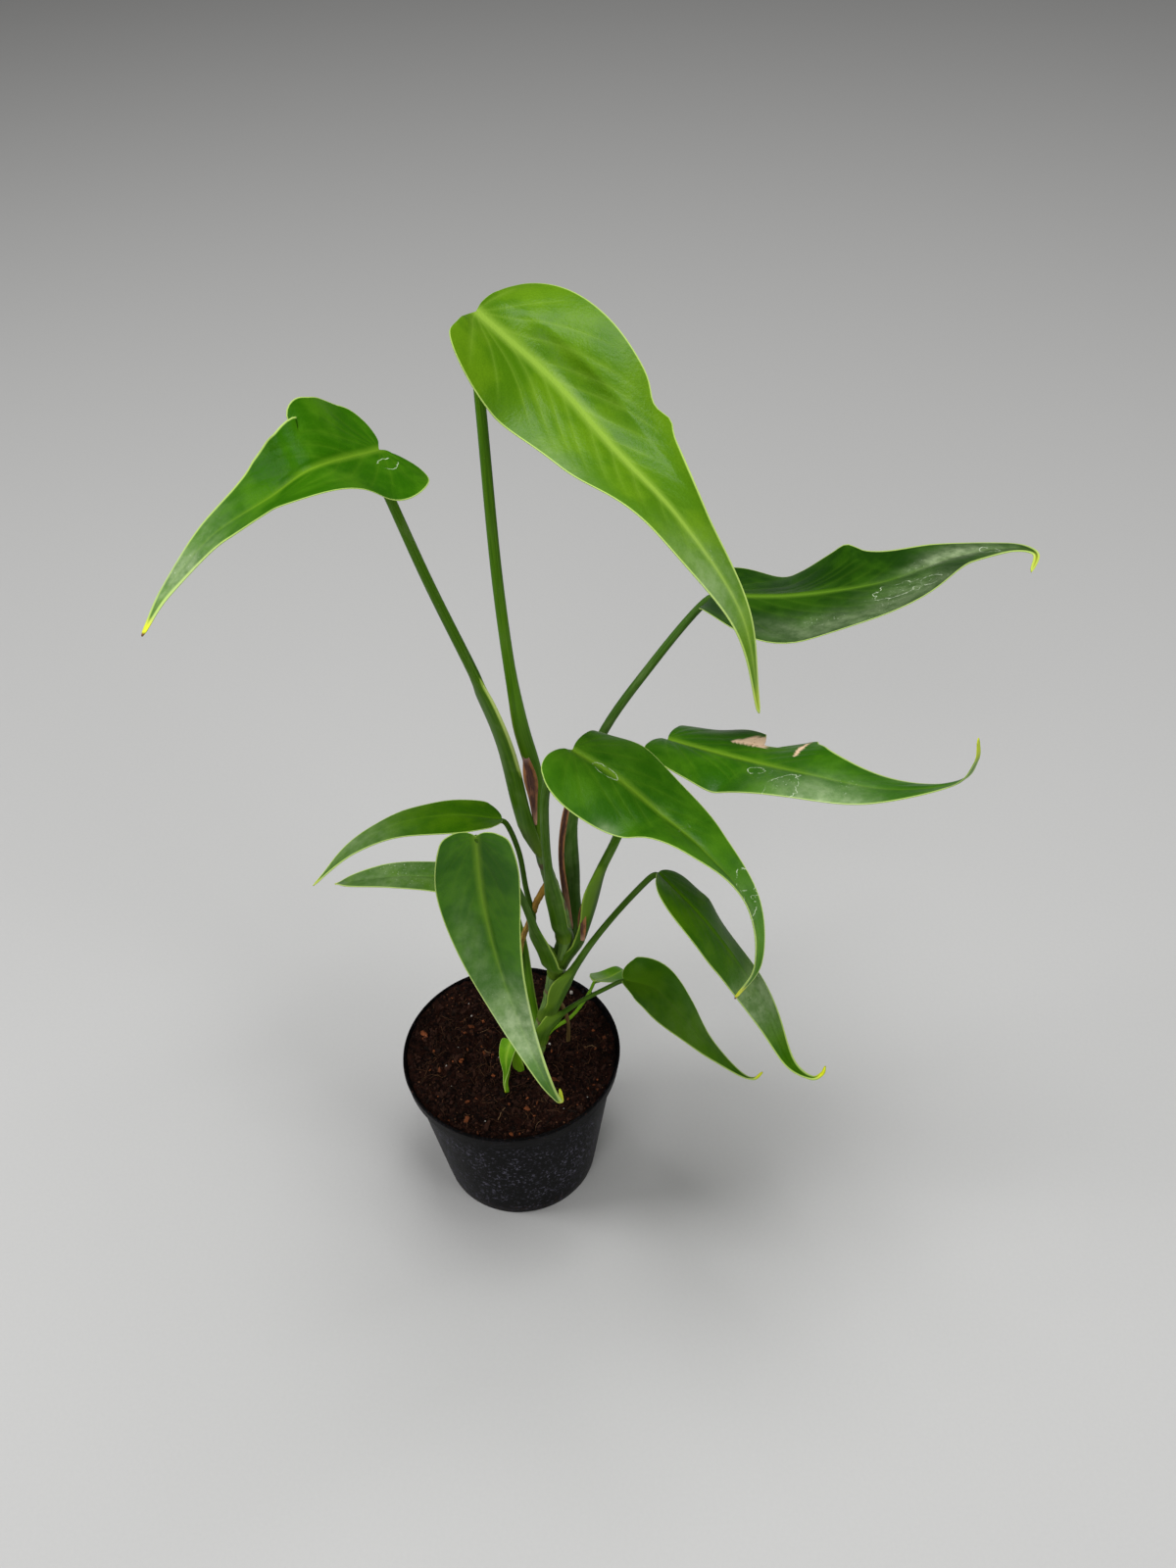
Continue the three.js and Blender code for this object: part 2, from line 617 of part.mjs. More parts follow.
function soilSolid() {
  const bottom = pot.floor + GAP;
  const points = [new THREE.Vector3(0, 0, bottom)];
  const triangles = [];
  const ring = (radius, heightAt) => Array.from({ length: soil.spokes }, (_, k) => {
    const angle = (k / soil.spokes) * 2 * Math.PI;
    const [x, y] = [radius * Math.cos(angle), radius * Math.sin(angle)];
    points.push(new THREE.Vector3(x, y, heightAt(x, y)));
    return points.length - 1;
  });
  // The pot's facets lie a little inside its round radius.
  const facet = Math.cos(Math.PI / pot.segments);
  const against = (radius) => radius * facet - GAP;
  const collarTop = collarFoot + collarWiden[1];
  const rings = [
    ring(against(innerRadiusAt(bottom)), () => bottom),
    ring(against(innerRadiusAt(collarFoot)), () => collarFoot),
    ring(against(collarInnerRadiusAt(collarTop)), () => collarTop),
  ];
  for (let i = 0; i < soil.rings; i++) {
    const share = 1 - i / soil.rings;
    rings.push(ring(against(collarInnerRadiusAt(collarTop)) * share, soilHeight));
  }
  points.push(new THREE.Vector3(0, 0, soilHeight(0, 0)));
  const centre = points.length - 1;
  for (let k = 0; k < soil.spokes; k++) {
    const next = (k + 1) % soil.spokes;
    triangles.push([0, rings[0][next], rings[0][k]]);
    for (let i = 0; i < rings.length - 1; i++) {
      const [a, b, c, d] = [rings[i][k], rings[i][next], rings[i + 1][next], rings[i + 1][k]];
      triangles.push([a, b, c], [a, c, d]);
    }
    triangles.push([rings.at(-1)[k], rings.at(-1)[next], centre]);
  }
  let solid = solidOf(closedGeometry(points, triangles));
  // Bark chips lie half sunk in the surface.
  const random = seededRandom(11);
  for (let i = 0; i < soil.chips; i++) {
    const angle = random() * 2 * Math.PI;
    const radius = pot.baseRadius * Math.sqrt(0.1 + 0.9 * random());
    const chip = new THREE.BoxGeometry(4 + 5 * random(), 2.5 + 2 * random(), 2.4);
    chip.rotateX(0.5 * (random() - 0.5));
    chip.rotateZ(random() * Math.PI);
    const [x, y] = [radius * Math.cos(angle), radius * Math.sin(angle)];
    chip.translate(x, y, soilHeight(x, y) + 0.3);
    solid = solid.add(solidOf(weld(chip)));
  }
  return solid;
}

const plant = new THREE.Group();
function addMesh(name, solid, colour, roughness) {
  const material = new THREE.MeshStandardMaterial({ color: colour, roughness, metalness: 0 });
  const mesh = new THREE.Mesh(geometryOf(solid), material);
  mesh.name = name;
  plant.add(mesh);
}

// The stem is whole. Each later stalk is cut back from the ones before it, which seats its foot.
const stemRings = 24;
const stemSides = 10;
const cutters = [solidOf(roundStalk(stemPath, stemRadius, stemRings, stemSides, GAP))];
addMesh("stem", solidOf(roundStalk(stemPath, stemRadius, stemRings, stemSides)), 0x55802a, 0.55);

for (const [name, leaf] of Object.entries(leaves)) {
  let solid = solidOf(petioleGeometry(leaf));
  for (const cutter of cutters) solid = solid.subtract(cutter);
  let blade = solidOf(bladeGeometry(leaf));
  if (leaf.tear) blade = blade.subtract(solidOf(tearGeometry(leaf)));
  solid = largestBody(solid).add(blade);
  addMesh(name, solid, leaf.colour, 0.4);
  cutters.push(solidOf(petioleGeometry(leaf, GAP)));
}

const rootRings = 14;
const rootSides = 6;
for (const [name, root] of Object.entries(roots)) {
  let solid = solidOf(roundStalk(root.path, root.radius, rootRings, rootSides));
  for (const cutter of cutters) solid = solid.subtract(cutter);
  addMesh(name, largestBody(solid), root.colour, 0.6);
  cutters.push(solidOf(roundStalk(root.path, root.radius, rootRings, rootSides, GAP)));
}

for (const [name, sheath] of Object.entries(drySheaths)) {
  const width = valueAlong(sheath.width);
  const depth = () => drySheathThickness;
  let solid = solidOf(stalk(sheath.path, 6, sheath.open, width, depth, () => 0.1, 8));
  for (const cutter of cutters) solid = solid.subtract(cutter);
  addMesh(name, largestBody(solid), 0x5a2f22, 0.8);
}

// Stems and roots stand in plain holes in the soil.
let bed = soilSolid();
for (const cutter of cutters) bed = bed.subtract(cutter);
addMesh("soil", largestBody(bed), 0x2e1c14, 0.95);
addMesh("pot", potSolid(), 0x17171a, 0.45);

export default plant;
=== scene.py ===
import math
import random

import bmesh
import bpy
import numpy as np
from mathutils import Matrix, Vector, noise


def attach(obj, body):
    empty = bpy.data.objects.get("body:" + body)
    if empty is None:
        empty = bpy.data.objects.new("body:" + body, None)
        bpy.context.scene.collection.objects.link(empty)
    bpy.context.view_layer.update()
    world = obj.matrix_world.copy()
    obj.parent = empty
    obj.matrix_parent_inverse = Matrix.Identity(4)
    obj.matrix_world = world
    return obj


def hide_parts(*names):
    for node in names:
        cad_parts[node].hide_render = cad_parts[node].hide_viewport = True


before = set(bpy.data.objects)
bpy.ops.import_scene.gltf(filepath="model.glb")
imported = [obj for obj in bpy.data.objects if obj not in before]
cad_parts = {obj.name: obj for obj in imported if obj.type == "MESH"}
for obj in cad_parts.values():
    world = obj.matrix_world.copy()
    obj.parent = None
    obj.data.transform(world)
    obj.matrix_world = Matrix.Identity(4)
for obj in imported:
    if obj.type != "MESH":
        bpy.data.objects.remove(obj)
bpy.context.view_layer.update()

# A young aroid with long, narrow, drip-tipped leaves, in a black nursery pot.
# Shapes are worked out in millimetres, in the frame of the solids, and made in metres.
# The plant is seen from -Y, with +X to the right.
MM = 0.001
WELD = 2e-6  # points closer than this are one, in metres

# The camera: its place in mm, how far it looks down and how far it is rolled, in degrees.
CAMERA_PLACE = (48.895, -542.549, 786.319)
CAMERA_DOWN = 42.3803
CAMERA_ROLL = -2.5988
CAMERA_LENS = 36
CAMERA_SENSOR = 36  # along the picture's long side

# The pot, as in the solids.
RIM_RADIUS = 60
POT_HEIGHT = 96
BASE_RADIUS = 43
WALL = 1.2
FLOOR = 1.6
COLLAR_HEIGHT = 9.5
COLLAR_STEP = 2.2
DRAIN_RADIUS = 4
DRAIN_CIRCLE = 27
DRAIN_COUNT = 8

# The soil: its level, the heap at one side and how much it rises at the pot's wall.
SOIL_TOP = 91.2
SOIL_HEAP = 4.2
SOIL_HEAP_AZIMUTH = 2.35
SOIL_RADIUS = 57.6
SOIL_EDGE = 1
SOIL_LUMPS = ((9, 1.3, 1), (3.6, 1.8, 5), (1.5, 1.0, 9), (0.7, 0.5, 2))  # width, height, layer

# The blade: the flat outline of one half, from the sinus round the lobe to the tip. The first
# number is the place along the midrib, negative behind the petiole, where 1 is the lobe's
# length, and positive in front of it, where 1 is the midrib's length. The second is the width.
HALF_OUTLINE = [
    (0, 0), (-0.75, 0.22), (-1, 0.55), (-0.45, 0.85), (0.1, 1), (0.26, 0.97),
    (0.44, 0.78), (0.62, 0.5), (0.78, 0.25), (0.9, 0.1), (1, 0.03),
]
FULL_WIDTH = 30  # the half-width of a blade whose relief is at full size
MIDRIB_STEPS = 160
VEIN_SWEEP = 0.45  # how far forward a row of points runs for each mm outward
ROW_CROWDING = 0.35  # how much closer together rows are at both ends of that outline
HALF_THICKNESS = 0.33
HOOK_THICKNESS = 0.45  # what a hooked tip adds to that
TIP_ROUND = 2.2  # the mm over which the tip rounds off
PLEAT_BACK = 0.4  # how far a pleat's back layer slides, against its front layer
QUILT_RISE = 0.42  # how far the blade stands up between two side veins, and sinks at them
QUILT_SINK = 0.1
WAVE_RISE = 0.42  # and how far its margin waves, in a long wave and a shorter one
SHORT_WAVE = 0.7
GROOVE_DEPTH = 0.34
GROOVE_REACH = 1.5
SEED_SPACING = 17.0  # between two leaves, in the space that their textures are taken from

# Side veins: how far they run forward for each mm outward at the midrib, how much more at the
# margin, and the angle between those that radiate behind the first one.
VEIN_SPREAD = 1.5
VEIN_ARCH = 1.4
FAN_STEP = math.radians(24)

# The rib that the petiole becomes below the blade: steps along it, its taper and its depth.
RIB_STEPS = (0.05, 0.14, 0.27, 0.42, 0.6, 0.8, 1)
RIB_TAPER = 0.25
RIB_SINK = 0.25

# How finely a leaf of each size is divided: rows along the blade, columns across each half,
# the stalk's rings and sides, and the space between side veins in mm.
DETAIL = {
    "large": dict(rows=120, columns=26, rings=96, sides=28, veins=15.0),
    "small": dict(rows=90, columns=18, rings=72, sides=22, veins=12.0),
    "tiny": dict(rows=48, columns=10, rings=40, sides=16, veins=6.0),
}
INNER_COLUMNS = (0, 0.02, 0.045, 0.075)  # those that are closer together, at the midrib
OUTER_COLUMNS = (0.975, 0.99, 1)  # and at the margin

# What a leaf has where LEAVES doesn't say otherwise. Sizes are in mm. Along and across are
# fractions of the midrib and of the half-width, a reach is how far from its middle a thing
# fades, and a side is 1 on the right and -1 on the left.
PLAIN_LEAF = dict(
    size="large",  # which row of DETAIL it has
    rows=0,  # the blade's rows, where it needs more of them
    stalk=None,  # its petiole's finish, where that isn't named as its skin is
    lobes=(0.5, 0.5),  # how far the right lobe and the left one reach back
    shoulder=(0, 0),  # how far the blade's base is rounded forward, right and left
    curl=0,  # the degrees that each half bends up on the way to its margin
    soft=8,  # how close to the midrib the halves reach their angle
    groove=1,  # the depth of the hollow over the midrib
    quilt=0.45,  # the swelling between side veins
    hook=0,  # the half-width of a thick, hooked tip
    slim=0,  # the share of its width that the tail loses
    nicks=(),  # the margin moved outward: side, along, reach, mm
    ruffles=(),  # the margin lifted: side, along, reach, mm
    pleats=(),  # the margin folded over: side, along, reach in mm, fold, tuck inward, rise
    tear=(),  # the line that the left margin is torn back to: along, across
    dry=(),  # outlines of dry patches on the left: along, across
    rib=0.55,  # how far along the blade the petiole goes on as a rib
    wing=(0, 0, 1),  # one side of the sheath made wider: mm, and where it starts and is fullest
    crisp=0.72,  # where along the sheath it starts to close
    rim=(1, 12),  # the brightness of the sheath's edge, and the mm where that starts
    tip=1,  # how yellow the tip is
    burnt=0,  # how brown its very end is
    film=(0.5, 0.3, 0),  # a thin whitish film right across, partly dried water and partly painted sheen: along, reach, strength
    painted_sheen=(),  # more of that whitish colour in patches, as painted sheen where highlights fall: along, across, reach along, reach across, strength
    rings=(),  # outlines of dried drops: along, across, half length, half width
    painted_rim_highlight=(),  # where the pale margin becomes wider, as a painted rim highlight on a lit edge: side, along
)

# Each leaf, as in the solids: its skin out of SKINS, the blade's half-width, how far its widest
# part sits towards the base, the midrib from petiole to tip, and the degrees that each half
# stands above level at even steps from base to tip. The petiole runs from its foot to just below
# the midrib's start, with its radii and, where a fourth is given, the radius of the rib's end.
# The sheath has its half-width, the fraction of the petiole where it ends and the way it opens.
LEAVES = {
    "leaf_01": dict(
        skin="young", rows=200, half_width=34, lobes=(2, 2), shoulder=(2, 5), belly=1.25, curl=-25,
        soft=2.5, groove=0.35,
        midrib=[
            (14, 28, 514.7), (42, 14, 492), (65, -14, 476), (88, -47, 464), (109, -69, 436),
            (116, -80, 397),
        ],
        right=(22, 0, 0, 5, -30, -48), left=(5, 54, 30, 5, 0, 14),
        nicks=[(-1, 0.345, 0.03, -2.4), (-1, 0.388, 0.02, 2.2)],
        petiole=[(25, 0, 259), (24, 3, 295), (18, 9, 330), (14, 16, 394), (13, 22, 465), (13, 26, 500)],
        radius=(3.4, 2.6, 2.1), sheath=(4.4, 0.5, (-0.7, 0.7, 0)), tip=0.2, film=(0.8, 0.15, 0.1),
        painted_sheen=[(0.72, 0.4, 0.09, 0.5, 1.2), (0.42, 0.8, 0.13, 0.2, 0.8)], painted_rim_highlight=[(-1, 0.38)],
    ),
    "leaf_02": dict(
        skin="matt", stalk="mature", rows=240, half_width=28, lobes=(7, 8), belly=1.2, curl=11,
        midrib=[
            (-28, 10, 467), (-49, -22, 479), (-66, -28, 471), (-90, -35, 459), (-107, -50, 446),
            (-115, -68, 438),
        ],
        right=(24, 37, 17, 0, -4, 8), left=(-24, -24, 15, 10, -6, -16),
        nicks=[(1, 0.2, 0.035, 1.6), (1, 0.325, 0.048, -3.2)], ruffles=[(-1, 0.38, 0.045, 2)],
        pleats=[(1, 0.262, 5, 16, 6, 2)],
        petiole=[
            (22, -2, 251), (17, -1, 281), (12, 1, 317), (3, 2, 351), (-14, 5, 404), (-26, 8, 445),
            (-29.5, 8.5, 457),
        ],
        radius=(4, 2.5, 2), sheath=(6.6, 0.53, (0.75, 0.65, 0)), crisp=0.88, rim=(4, 55), burnt=1,
        film=(0.8, 0.16, 1.7), rings=[(0.03, -0.3, 5.5, 3.2), (0.035, -0.3, 4, 2.2)],
        painted_rim_highlight=[(1, 0.25), (-1, 0.3)],
    ),
    "leaf_03": dict(
        skin="old", half_width=40, belly=1, curl=12, slim=0.35,
        midrib=[
            (111, 54, 357), (148, 46, 361), (188, 45, 367), (222, 62, 367), (250, 72, 364),
            (261.8, 63, 366.5), (259.2, 56, 360.5),
        ],
        right=(20, -2, 4, 17, 9, -3), left=(-18, -27, -5, -7, -7, -7), ruffles=[(-1, 0.39, 0.04, 3)],
        petiole=[
            (34, 2, 174), (38, 8, 192), (38, 12, 211), (41, 18, 254), (56, 29, 295), (82, 40, 330),
            (107, 53, 354),
        ],
        radius=(3, 2.4, 1.9), sheath=(4.6, 0.52, (-0.1, 1, 0)), tip=0.4, film=(0.85, 0.06, 0.5),
        painted_sheen=[
            (0.3, 0.75, 0.16, 0.25, 1.2), (0.5, 0.45, 0.1, 0.3, 0.9), (0.66, -0.04, 0.12, 0.09, 1.6),
            (0.7, -0.05, 0.09, 0.22, 1.2),
        ],
        rings=[(0.46, 0.32, 8, 6.5), (0.53, 0.42, 4.5, 5), (0.79, 0.02, 3, 3.5), (0.815, 0.05, 2.2, 2.6)],
        painted_rim_highlight=[(-1, 0.36), (1, 0.55)],
    ),
    "leaf_04": dict(
        skin="mature", half_width=27.5, lobes=(5, 2), belly=1.45, curl=-27,
        midrib=[
            (43, -40, 348), (61, -52, 342), (78, -63, 331), (95, -81, 326), (113, -98, 309),
            (116, -112, 288), (107, -114, 268),
        ],
        right=(25, 2, 27, 50, 34, 2), left=(-7, 5, 3, 2, 0, 23),
        petiole=[
            (32.5, -1.5, 188), (31.5, -7, 201), (30.5, -12, 219), (28.5, -17, 246), (28, -22, 277),
            (30, -28, 314), (38, -37, 342),
        ],
        radius=(3.4, 2.3, 1.9), sheath=(4.2, 0.55, (0, 1, 0)), burnt=1, film=(0.7, 0.12, 0.35),
        painted_sheen=[(0.22, 0.85, 0.03, 0.1, 1.4)],
        rings=[(0.115, 0.03, 6.5, 2.2), (0.62, -0.2, 5, 5), (0.68, 0.1, 5, 7)], painted_rim_highlight=[(1, 0.5)],
    ),
    "leaf_05": dict(
        skin="mature", rows=260, half_width=30, lobes=(3, 2), belly=1.3, curl=-29,
        midrib=[
            (87, 11, 307), (122, -7, 308), (144, -33, 322), (175, -54, 330), (199, -71, 347),
            (205, -76, 363), (205, -74, 374),
        ],
        right=(40, 18, 15, 5, 13, 29), left=(-11, -4, 8, -6, -20, -25), nicks=[(-1, 0.33, 0.012, 1.6)],
        ruffles=[(-1, 0.315, 0.03, 1.6), (-1, 0.17, 0.05, 2.4)],
        tear=[(0.183, 1.2), (0.221, 0.5), (0.25, 0.52), (0.264, 0.85), (0.262, 1.2)],
        dry=[
            [(0.15, 0.38), (0.203, 0.86), (0.212, 0.8), (0.232, 0.4)],
            [(0.314, 0.85), (0.324, 0.68), (0.352, 0.3), (0.345, 0.28), (0.319, 0.5)],
        ],
        petiole=[
            (34, -1, 168), (40, -2, 184), (46, -0.5, 204), (53, 2, 230), (62, 4, 252), (78, 9, 294),
            (85, 11, 304),
        ],
        radius=(3, 2.4, 2), sheath=(4.4, 0.54, (-0.7, 0.7, 0)), wing=(4.4, 0.5, 0.8),
        film=(0.85, 0.1, 0.2), painted_sheen=[(0.53, 0.6, 0.12, 0.5, 2.2)],
        rings=[(0.3, 0.25, 5, 3), (0.42, 0.45, 6, 9)], painted_rim_highlight=[(-1, 0.36)],
    ),
    "leaf_06": dict(
        skin="dull", stalk="mature", size="small", half_width=14.5, shoulder=(7, 7), belly=1.04,
        midrib=[(7, 0, 271), (-16, -1, 276), (-41, -5, 276), (-64, -12, 268), (-84, -20, 252)],
        right=(-12, -12, -14, -10, 9, 28), left=(30, 9, 3, 4, -3, -18),
        petiole=[(24, -4, 172), (19, -3, 202), (16, -3, 225), (14, -2, 250), (9, 0, 268)],
        radius=(2, 1.4, 1.3), sheath=(2.6, 0.3, (1, 0, 0)), tip=0.3, film=(0.72, 0.2, 0.9),
    ),
    "leaf_07": dict(
        skin="dull", stalk="young", size="small", half_width=14.5, lobes=(6, 6), belly=0.92, curl=-10,
        midrib=[(-1, 19, 214), (-25, 27, 206), (-51, 31, 204), (-76, 35, 198), (-90, 50, 181)],
        right=(8, -2, -3, 14, 19, 22), left=(14, 16, 15, 11, 8, 7),
        petiole=[(16, 3, 104), (13, 8, 136), (11, 12, 170), (7, 15, 198), (0, 18, 212)],
        radius=(2.2, 1.7, 1.4), sheath=(3.4, 0.75, (0.7, 0.7, 0)), wing=(1, 0.1, 0.7), tip=0.3,
        film=(0.6, 0.3, 0.8),
    ),
    "leaf_08": dict(
        skin="mature", half_width=21, lobes=(6, 5), belly=1.09, curl=21, hook=0.4,
        midrib=[
            (-2, -43, 302), (-2, -44, 265), (2, -51, 231), (11, -66, 199), (22, -84, 178),
            (28.5, -83, 159), (28.5, -79, 164),
        ],
        right=(24, 14, 13, 11, 12, 11), left=(13, 14, 20, 20, 13, 8),
        petiole=[
            (27, -8, 164), (24.5, -14, 187), (20.5, -20.5, 210), (15, -30, 248), (7, -38, 282),
            (-1, -42, 299),
        ],
        radius=(3.4, 1.9, 1.6), sheath=(5.4, 0.5, (0.6, 1, 0)), film=(0.67, 0.13, 2.6),
        painted_sheen=[(0.38, 0.5, 0.14, 0.35, 0.7)], painted_rim_highlight=[(-1, 0.3)],
    ),
    "leaf_09": dict(
        skin="dull", size="small", half_width=19, shoulder=(8, 8), belly=1.05, curl=-11, hook=0.7,
        midrib=[
            (81, -10, 240), (100, -27, 227), (118, -35, 200), (132, -50, 178), (142, -66, 160),
            (151, -77, 161), (156.5, -76.5, 163), (158, -75, 167),
        ],
        right=(48, 26, 14, -3, -8, 3), left=(-28, -25, -28, -7, 1, 13),
        petiole=[
            (22, -8, 130), (27, -9.5, 147), (33.5, -9.5, 163), (45, -8.5, 186), (59, -8, 209),
            (73, -9.5, 231), (79.5, -9.5, 238),
        ],
        radius=(3.4, 1.8, 1.5), sheath=(3.8, 0.4, (-0.3, 1, 0.3)), wing=(4.6, 0.15, 0.78),
        film=(0.58, 0.1, 1.6), painted_rim_highlight=[(-1, 0.5)],
    ),
    "leaf_10": dict(
        skin="dull", size="small", half_width=16, lobes=(2, 2), shoulder=(7, 7), belly=1.09, hook=0.6,
        midrib=[
            (63, 0, 150), (79, -2, 144), (94, -8, 127), (108, -17, 111), (122, -27, 102), (130, -32, 102),
            (135, -31, 106),
        ],
        right=(28, -11, -16, -13, -3, 11), left=(6, 17, 13, -2, -5, -5),
        petiole=[
            (14.5, -8.5, 114), (21, -9.5, 125), (29, -7.5, 133), (40, -4, 139), (52, -2, 145),
            (62, 0, 149),
        ],
        radius=(2.8, 1.4, 1.2), sheath=(3.6, 0.42, (0, 1, 0.3)), wing=(3, 0.2, 0.8), film=(0.5, 0.3, 0.2),
        painted_rim_highlight=[(-1, 0.5)],
    ),
    "leaf_11": dict(
        skin="small", size="tiny", half_width=7.5, shoulder=(9, 10), belly=0.68,
        midrib=[(47, 19, 128), (55, 30, 117), (64, 42, 109), (63, 51, 95)],
        right=(16, 12, 10, 10, 11, 12), left=(10, 2, -2, 5, 12, 16),
        petiole=[(16, -3, 103), (22, 2, 108), (34, 7, 113), (43, 13, 122), (47, 18, 127)],
        radius=(1.5, 1, 0.9), sheath=(1.8, 0.3, (0, 0, 1)),
    ),
    "leaf_12": dict(
        skin="small", size="tiny", half_width=5.2, belly=1.5, curl=20,
        midrib=[
            (1.5, -13, 119), (0, -16, 117), (-1.5, -19, 112), (-2, -22, 105), (-3.5, -26, 99),
            (-3, -28.5, 94.5),
        ],
        right=(15, 15, 15, 30, 35, 35), left=(15, 12, 10, 30, 35, 35),
        petiole=[(4, -8, 84), (4, -9, 95), (3, -11, 108), (2, -12.5, 117)], radius=(3.3, 2.6, 1.5, 1.3),
        sheath=(4.4, 0.6, (0.7, 0.7, 0)), rib=1,
    ),
}

YOUNG_LEAVES = ("leaf_01", "leaf_12")
CLASPING = [f"leaf_{number:02d}" for number in range(1, 11)]
CLASP_BELOW = 5  # how far a sheath's ring round the stem reaches below its foot, and above it
CLASP_ABOVE = 9
CLASP_BLEND = 5  # and how much further the sheath takes to leave the stem

STEM_PATH = [
    (12, -6, 58), (12, -7, 91), (18, -5, 118), (24, -3, 140), (28, -2, 162),
    (33, 0, 183), (32, 2, 203), (28, 2, 225), (24, 0, 251),
]
STEM_RADII = (3, 4.4, 4.6, 4.4, 4.6, 4.4, 3.8, 3.4, 3)
STEM_STEPS = 240  # where it is followed, to lay a sheath round it
STEM_NODES = (0.22, 0.31, 0.4, 0.5, 0.57, 0.64, 0.74, 0.86, 0.95)  # where leaves sit, as fractions
NODE_SWELL = 0.07  # by what share of its radius it is wider at a node, and narrower just below
NODE_NIP = 0.05
ROOTS = {
    "aerial_root": dict(
        path=[
            (26, -4, 228), (21, -4, 218), (18, -1, 205), (15, 2, 194), (11, 5, 179), (8, 9, 160),
            (2, 12, 136), (-1, 15, 108), (-1, 16, 84),
        ],
        radii=(2, 1.6, 1.5, 1.6, 1.3), dull=0,
    ),
    "stub_root": dict(
        path=[(26, -1, 138), (30, 3, 126), (32, 6, 108), (31, 8, 84)], radii=(1.6, 1.2, 1.1, 1.2), dull=1,
    ),
}

# The dry sheaths: the path of each, its half-widths along it and the way that it opens.
DRY_SHEATHS = {
    "dry_sheath_top": dict(
        path=[(23, -4.5, 271), (23, -5.5, 287), (22.5, -5.5, 301), (21, -4, 313)],
        widths=(0.9, 1.9, 3.3, 1.6), open=(0.2, 1, 0),
    ),
    "dry_sheath_middle": dict(
        path=[(36.5, 2, 190), (35, 5, 213), (34, 7.5, 229), (34.5, 10, 243), (37, 12.5, 259), (40, 15, 272)],
        widths=(1.6, 1.7, 1.5, 1.5, 1.6, 0.8), open=(0.2, 1, 0),
    ),
    "dry_sheath_lower": dict(
        path=[(42, -4, 188), (42.5, -4, 196), (43, -3, 204), (44, -2, 212)],
        widths=(2, 2.7, 2.6, 1.2), open=(0.7, 0.7, 0),
    ),
}
DRY_HALF_THICKNESS = 0.16
DRY_BOW = 1.1  # how far the middle stands off the edges, where the half-width is 3
DRY_CREASES = ((0.16, 17), (0.1, 31))  # how deep they are, and how closely they stand
DRY_RAGGED = 1.8  # how unevenly its top ends


# Curves, and frames along them

def spline(points, t):
    """The places at fractions t of a smooth curve through these points."""
    points = np.asarray(points, float)
    at = np.clip(np.asarray(t, float), 0, 1) * (len(points) - 1)
    ends = 2 * points[0] - points[1], 2 * points[-1] - points[-2]
    padded = np.concatenate([[ends[0]], points, [ends[1]]])
    i = np.minimum(at.astype(int), len(points) - 2)
    f = at - i
    if points.ndim > 1:
        f = f[..., None]
    a, b, c, d = padded[i], padded[i + 1], padded[i + 2], padded[i + 3]
    return 0.5 * (2 * b + (c - a) * f + (2 * a - 5 * b + 4 * c - d) * f**2 + (3 * b - a - 3 * c + d) * f**3)


def unit(vectors):
    return vectors / np.maximum(np.linalg.norm(vectors, axis=-1, keepdims=True), 1e-12)


def smoothstep(value, low, high):
    x = np.clip((value - low) / (high - low), 0, 1)
    return x * x * (3 - 2 * x)


def bell(value, centre, reach):
    """1 at the centre, and nearly 0 from twice the reach on."""
    return np.exp(-(((value - centre) / reach) ** 2))


def circle(radius, z, count, centre=(0, 0)):
    """The points of a level circle."""
    angle = 2 * math.pi * np.arange(count) / count
    x, y = centre[0] + radius * np.cos(angle), centre[1] + radius * np.sin(angle)
    return np.stack([x, y, np.full(count, float(z))], -1)


class Rail:
    """A curve with a frame at each step, carried along it without twist."""

    def __init__(self, points, steps, first_side=None):
        self.place = spline(points, np.linspace(0, 1, steps + 1))
        self.along = unit(np.gradient(self.place, axis=0))
        side = np.cross(self.along[0], (0, 0, 1)) if first_side is None else first_side
        sides = []
        for along in self.along:
            side = unit(side - along * side.dot(along))
            sides.append(side)
        self.side = np.array(sides)
        self.up = np.cross(self.side, self.along)
        steps_mm = np.linalg.norm(np.diff(self.place, axis=0), axis=1)
        self.length = np.concatenate([[0], np.cumsum(steps_mm)])
        self.total = self.length[-1]

    def at(self, length):
        """The places, and the side and up directions, at these lengths."""
        length = np.clip(length, 0, self.total)
        return [
            np.stack([np.interp(length, self.length, row) for row in key.T], -1)
            for key in (self.place, self.side, self.up)
        ]


def stalk_rail(points, steps, open_way):
    """A rail whose up direction is the way that the stalk's open face looks."""
    start = unit(np.subtract(points[1], points[0]).astype(float))
    return Rail(points, steps, np.cross(-np.asarray(open_way, float), start))


# Meshes

# What the materials read at each point, and how many numbers each has.
VALUE_WIDTHS = {"flat": 3, "vein": 3, "spot": 3, "film": 3, "mark": 3, "stalk": 3, "tint": 1}


def add_object(name, data):
    obj = bpy.data.objects.new(name, data)
    bpy.context.scene.collection.objects.link(obj)
    return obj


